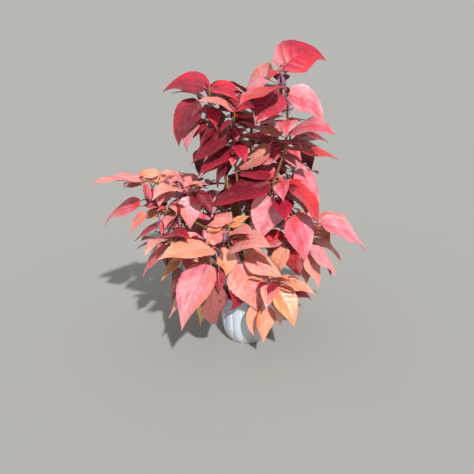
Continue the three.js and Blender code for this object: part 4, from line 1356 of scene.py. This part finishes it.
def scatter_tree():
    tree = bpy.data.node_groups.new("scatter_grains", "GeometryNodeTree")
    sockets = {}
    for name, kind in SCATTER_INPUTS.items():
        socket = tree.interface.new_socket(name, in_out="INPUT", socket_type="NodeSocket" + kind)
        sockets[name] = socket.identifier
    tree.interface.new_socket("Grains", in_out="OUTPUT", socket_type="NodeSocketGeometry")
    given = tree.nodes.new("NodeGroupInput").outputs
    points = add_node(tree, "GeometryNodeDistributePointsOnFaces", {}, given["Surface"],
                      Density=given["Density"], Seed=given["Seed"])
    grain = add_node(tree, "GeometryNodeMeshIcoSphere", {}, 1.0, given["Detail"])
    spin = add_node(tree, "FunctionNodeRandomValue", {"data_type": "FLOAT_VECTOR"}, Seed=given["Seed"])
    spin.inputs["Max"].default_value = (2 * math.pi,) * 3
    bulk = add_node(tree, "FunctionNodeRandomValue", {"data_type": "FLOAT"}, Seed=given["Seed"])
    floats = [socket for socket in bulk.inputs if socket.type == "VALUE"]
    floats[0].default_value, floats[1].default_value = SMALLEST, LARGEST
    bulk_out = next(socket for socket in bulk.outputs if socket.type == "VALUE")
    size = add_node(tree, "ShaderNodeMath", {"operation": "MULTIPLY"}, bulk_out, given["Size"])
    squash = add_node(tree, "ShaderNodeCombineXYZ", {}, 1.0, 0.85, given["Flatness"])
    scale = add_node(tree, "ShaderNodeVectorMath", {"operation": "SCALE"}, squash.outputs[0],
                     Scale=size.outputs[0])
    placed = add_node(tree, "GeometryNodeInstanceOnPoints", {}, points.outputs["Points"],
                      Instance=grain.outputs["Mesh"], Rotation=spin.outputs[0], Scale=scale.outputs[0])
    real = add_node(tree, "GeometryNodeRealizeInstances", {}, placed.outputs[0])
    dents = add_node(tree, "ShaderNodeTexNoise", {}, Scale=DENT_SCALE)
    centred = add_node(tree, "ShaderNodeVectorMath", {"operation": "SUBTRACT"}, dents.outputs["Color"],
                       (0.5, 0.5, 0.5))
    offset = add_node(tree, "ShaderNodeVectorMath", {"operation": "SCALE"}, centred.outputs[0],
                      Scale=given["Lumps"])
    lumpy = add_node(tree, "GeometryNodeSetPosition", {}, real.outputs[0], Offset=offset.outputs[0])
    coated = add_node(tree, "GeometryNodeSetMaterial", {}, lumpy.outputs[0], Material=given["Material"])
    tree.links.new(coated.outputs[0], tree.nodes.new("NodeGroupOutput").inputs[0])
    return tree, sockets


scatter, scatter_sockets = scatter_tree()


def scatter_on(name, points, faces, **values):
    """A new piece of grains over a surface."""
    piece = add_piece(name, points, faces)
    modifier = piece.modifiers.new("grains", "NODES")
    modifier.node_group = scatter
    for key, value in values.items():
        modifier[scatter_sockets[key]] = value
    return ready_mesh(piece)


print("scatter tree with", len(scatter.nodes), "nodes")

# %% [markdown]
# The flower spikes are dusky purple catkins that hang from the stems. Each has a thin spine, and hundreds of
# tiny flowers crowd round it. A flower is a ball of twenty faces: at this size more would be lost. Their
# colour wanders at random between a dark violet and a pale lilac: the flowers' own mottle, stretched to the
# colours they show in shade and in light, so it is partly painted shade and painted light.

# %% Flower spikes
FLOWER_SIZE = 0.0012
FLOWER_DENSITY = 170000.0
SPIKE_STEPS = 12
spikes = Bundle()
for shoot in shoots:
    for curve in shoot.catkins:
        shares = np.linspace(0, 1, SPIKE_STEPS)
        radii = np.interp(shares, (0, 0.12, 0.3, 0.75, 1), (0.6, 0.8, 2.2, 2.5, 0.8))
        spikes.add(*tube(along_bend(curve, SPIKE_STEPS), radii, 8))
purple = Finish("spike_flowers", Roughness=0.7)
# A random mottle whose ends are the flowers' colours in shade and in light: partly painted shade and painted
# light.
petal_mottle_light_and_shade = purple.noise(500).between(0.4, 0.6)
purple.drive("Base Color", purple.blend(petal_mottle_light_and_shade, linear(104, 62, 100), linear(186, 148, 178)))
purple.bump(purple.noise(2500), 0.3, 0.0003)
spines = add_piece("catkin_spines", *spikes.shape(), [purple.material])
flowers = scatter_on("catkin_flowers", *spikes.shape(), Density=FLOWER_DENSITY, Detail=1, Size=FLOWER_SIZE,
                     Flatness=1.0, Lumps=0.0005, Seed=3, Material=purple.material)
for piece in (spines, flowers):
    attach(piece, "root")
    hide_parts(*("foliage_" + shoot.name for shoot in shoots if shoot.catkins))
print("flower spikes", len(flowers.data.polygons), "faces")

# %% [markdown]
# The pot is moulded plastic: a wall that rounds in towards its foot, with fifteen wide round ribs and narrow
# grooves between them, a plain band and a rolled rim. Its profile goes once round the wall, from the
# underside up the outside, over the rim and down to the floor inside. The grooves only change the radius, so
# the whole pot is one grid of rings.

# %% Pot shape
FLUTES = 15
FLUTE_STEPS = 16
FLUTE_DEPTH = 3
FLUTE_TURN = 6
FLUTE_NARROWNESS = 0.4
BAND_FOOT = 114
WALL_AND_FLUTE = 4
FLOOR = 3
DRAIN_HOLES = 4
DRAIN_RADIUS = 5


def inner_radius(z):
    return wall_radius(z) - WALL_AND_FLUTE


def groove(turns):
    return 1 - np.abs(np.sin((turns + math.radians(FLUTE_TURN)) * FLUTES / 2)) ** FLUTE_NARROWNESS


def flute_share(z):
    """Grooves fade out above the foot and below the band."""
    return np.interp(z, (3, 11, 104, 111), (0, 1, 1, 0))


# Each ring of the profile: height, radius and how much of the groove it takes
outside = [(z, wall_radius(z), flute_share(z)) for z in
           (1.2, 3, 5, 7, 9, 11, 14, 17, 20, 25, 30, 35, 40, 50, 60, 80, 98, 104, 106, 108, 110, 111, 112.6)]
band = [(113.4, wall_radius(BAND_FOOT) + 0.7, 0), (114, wall_radius(BAND_FOOT) + 1.4, 0),
        (115.2, wall_radius(BAND_FOOT) + 1.6, 0), (124, 73.7, 0), (131.5, 73.8, 0), (133.4, 74.1, 0),
        (134.4, 74.6, 0), (135.6, 75, 0), (138.2, 75, 0), (139.4, 74.6, 0), (140, 73.8, 0), (140, 70.6, 0),
        (139.6, 69.6, 0), (138.6, inner_radius(138.6), 0)]
inside = [(z, inner_radius(z), 0) for z in (130, 118, 80, 60, 40, 30, 20, 14, 8)]
floor_rings = [(FLOOR + 1, inner_radius(FLOOR + 1) - 0.6, 0), (FLOOR, inner_radius(FLOOR) - 2.5, 0),
               (FLOOR, 36, 0), (FLOOR, 14, 0)]
underside = [(0, 14, 0), (0, 34, 0), (0, FOOT_RADIUS - 1.6, 0), (0.3, FOOT_RADIUS - 0.5, 0)]
sides = FLUTES * FLUTE_STEPS
turns = np.linspace(0, 2 * math.pi, sides, endpoint=False)
rings = []
for z, radius, share in underside + outside + band + inside + floor_rings:
    reach = radius - FLUTE_DEPTH * share * groove(turns)
    rings.append(np.stack([reach * np.cos(turns), reach * np.sin(turns), np.full(sides, z)], 1))
grid = np.arange(len(rings) * sides).reshape(len(rings), sides)
beside = np.roll(grid, -1, axis=1)
faces = np.stack([grid[:-1], beside[:-1], beside[1:], grid[1:]], -1).reshape(-1, 4).tolist()
faces += [grid[0, ::-1].tolist(), grid[-1].tolist()]
pot = add_piece("pot_shell", np.concatenate(rings), faces)
for number in range(DRAIN_HOLES):
    centre = heading(45 + 360 * number / DRAIN_HOLES, 0) * (0.62 * FOOT_RADIUS)
    drill = add_piece("drill", *tube([centre - (0, 0, 2), centre + (0, 0, 6)], [DRAIN_RADIUS] * 2, 24))
    hole = pot.modifiers.new("drain", "BOOLEAN")
    hole.object = drill
    hole.solver = "EXACT"
    ready_mesh(pot)
    bpy.data.objects.remove(drill)
pot.data.shade_smooth()
pot.data.set_sharp_from_angle(angle=math.radians(40))
print("pot", len(pot.data.polygons), "faces")

# %% [markdown]
# The plastic is pale blue-grey and has stood outside: dust lies on it in soft patches, rain has left faint
# streaks down the wall, and splashed soil darkens its foot.

# %% Pot plastic
plastic = Finish("pot_plastic", Roughness=0.42)
high = plastic.height()
dust = plastic.noise(38, 5) * plastic.noise(9, 2).between(0.3, 0.7)
streaks = plastic.noise(60, 3, plastic.stretched(1, 1, 0.08))
low_dirt = (1 - high.between(0.0, 0.03)) * streaks.between(0.35, 0.6)
clean = plastic.blend(streaks.between(0.3, 0.75), linear(200, 214, 228), linear(220, 230, 238))
dusty = plastic.blend(dust.between(0.22, 0.5) * 0.45, clean, linear(168, 166, 156))
plastic.drive("Base Color", plastic.blend(low_dirt * 0.55, dusty, linear(128, 112, 90)))
plastic.drive("Roughness", 0.36 + dust * 0.3)
plastic.bump(plastic.noise(500, 3), 0.08, 0.0005)
pot.data.materials.append(plastic.material)
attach(pot, "root")
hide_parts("pot")
print("plastic made of", len(plastic.tree.nodes), "nodes")

# %% [markdown]
# The soil fills the pot to a finger below the rim. Its surface is a disc of rings with gentle lumps, level
# where the trunk stands. Walls and an underside inside the pot close it.

# %% Soil bed
SOIL_RINGS = 34
SOIL_SIDES = 90
SOIL_GAP = 0.6
CALM_RADIUS = 16
soil_radius = inner_radius(SOIL_LEVEL) - SOIL_GAP
turns = np.linspace(0, 2 * math.pi, SOIL_SIDES, endpoint=False)
points = [np.array([(0.0, 0.0, SOIL_LEVEL)])]
for ring in range(1, SOIL_RINGS + 1):
    share = ring / SOIL_RINGS
    for turn in turns:
        x, y = share * soil_radius * math.cos(turn), share * soil_radius * math.sin(turn)
        lumps = noise.noise(Vector((x, y, 0)) / 11) * 2.2 + noise.noise(Vector((x, y, 9)) / 3.5) * 1.1
        calm = min(1, max(0, (share * soil_radius - CALM_RADIUS) / 14))
        points.append(np.array([(x, y, SOIL_LEVEL - 1.4 * calm + calm * lumps)]))
top = np.concatenate(points)
fan = [(0, 1 + side, 1 + (side + 1) % SOIL_SIDES) for side in range(SOIL_SIDES)]
grid = 1 + np.arange(SOIL_RINGS * SOIL_SIDES).reshape(SOIL_RINGS, SOIL_SIDES)
beside = np.roll(grid, -1, axis=1)
quads = np.stack([grid[:-1], grid[1:], beside[1:], beside[:-1]], -1).reshape(-1, 4).tolist()
rim = np.stack([np.cos(turns), np.sin(turns)], 1)
walls = [np.column_stack([rim * (inner_radius(z) - SOIL_GAP), np.full(SOIL_SIDES, z)])
         for z in (112, 60, FLOOR + 0.4)]
grid = np.concatenate([grid[-1:], len(top) + np.arange(3 * SOIL_SIDES).reshape(3, SOIL_SIDES)])
beside = np.roll(grid, -1, axis=1)
sides = np.stack([grid[:-1], grid[1:], beside[1:], beside[:-1]], -1).reshape(-1, 4).tolist()
underside = grid[-1, ::-1].tolist()
bed = add_piece("soil_bed", np.concatenate([top, *walls]), fan + quads + sides + [underside], sharp=180)
print("soil", len(bed.data.polygons), "faces")

# %% [markdown]
# Loose crumbs lie on the bed, and among them a few pale grains of perlite. The same tree that scatters the
# flowers scatters them, over the disc but for its outermost ring, so that none sits inside the pot's wall.

# %% Potting mix
CRUMB_SIZE = 0.0017
CRUMB_DENSITY = 42000.0
PERLITE_SIZE = CRUMB_SIZE * 0.9
PERLITE_DENSITY = 2600.0
earth = Finish("potting_mix", Roughness=0.95)
grit = earth.noise(420, 6)
earth.drive("Base Color", earth.blend(grit.between(0.35, 0.65), linear(40, 28, 20), linear(96, 72, 52)))
earth.bump(grit, 0.9, 0.0012)
bed.data.materials.append(earth.material)
perlite = Finish("perlite", Roughness=0.85)
speck = perlite.noise(900)
pale_speck = perlite.blend(speck.between(0.35, 0.6), linear(186, 178, 162), linear(224, 220, 210))
perlite.drive("Base Color", pale_speck)
perlite.bump(speck, 0.5, 0.0004)

disc = [face for face in fan + quads if max(face) <= 1 + (SOIL_RINGS - 1) * SOIL_SIDES]
crumbs = scatter_on("soil_crumbs", top, disc, Density=CRUMB_DENSITY, Size=CRUMB_SIZE, Flatness=0.7,
                    Lumps=CRUMB_SIZE, Detail=2, Seed=5, Material=earth.material)
grains = scatter_on("soil_perlite", top, disc, Density=PERLITE_DENSITY, Size=PERLITE_SIZE, Flatness=0.7,
                    Lumps=PERLITE_SIZE, Detail=2, Seed=8, Material=perlite.material)
for piece in (bed, crumbs, grains):
    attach(piece, "root")
    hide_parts("soil")
print("crumbs", len(crumbs.data.polygons), "faces, perlite", len(grains.data.polygons))

# %% [markdown]
# The studio is plain: a pale floor, a pale sky of even light, one warm sun and a weak cool lamp at the left
# that lifts the shade. The sun stands in front of the plant, a little to the right and 41 degrees up, which
# is what the lit ribs of the pot and the lit halves of the leaves say. It is small enough for the leaves to
# throw clear shadows on each other, which turns the shaded ones deep crimson.

# %% Studio
SUN_AZIMUTH = 15
SUN_HEIGHT = 41
SUN_ENERGY = 3.9
SUN_SIZE = math.radians(2)
FILL_AZIMUTH = -50
FILL_HEIGHT = 30
FILL_ENERGY = 3
LAMP_DISTANCE = 3
LAMP_AIM = (0, 0, 0.4)
FLOOR_REACH = 6000
corners = [(x * FLOOR_REACH, y * FLOOR_REACH, 0) for x, y in ((-1, -1), (1, -1), (1, 1), (-1, 1))]
floor = add_piece("floor", corners, [(0, 1, 2, 3)])
pale = Finish("pale_floor", Roughness=0.8, Base_Color=(0.36, 0.36, 0.355, 1))
floor.data.materials.append(pale.material)
floor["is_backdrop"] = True

world = bpy.data.worlds.new("pale_sky")
scene.world = world
world.use_nodes = True
world.node_tree.nodes["Background"].inputs["Color"].default_value = (1.0, 0.99, 0.955, 1)
world.node_tree.nodes["Background"].inputs["Strength"].default_value = 0.48


def lamp(name, kind, azimuth, height, energy, **settings):
    """A lamp round the plant. Azimuth 0 is in front and 90 at the right."""
    data = bpy.data.lights.new(name, kind)
    data.energy = energy
    for key, value in settings.items():
        setattr(data, key, value)
    light = bpy.data.objects.new(name, data)
    turn, climb = math.radians(azimuth), math.radians(height)
    away = Vector((math.sin(turn) * math.cos(climb), -math.cos(turn) * math.cos(climb), math.sin(climb)))
    light.location = Vector(LAMP_AIM) + away * LAMP_DISTANCE
    light.rotation_euler = away.to_track_quat("Z", "Y").to_euler()
    scene.collection.objects.link(light)


lamp("key", "SUN", SUN_AZIMUTH, SUN_HEIGHT, SUN_ENERGY, angle=SUN_SIZE, color=(1.0, 0.97, 0.92))
lamp("fill", "AREA", FILL_AZIMUTH, FILL_HEIGHT, FILL_ENERGY, size=2.5, color=(0.86, 0.92, 1.0))
scene.view_settings.view_transform = "Standard"
print("floor, sky and lamps ready")

# %% Finish
low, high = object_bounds()
print("visual box", [round(v, 3) for v in (*low, *high)])
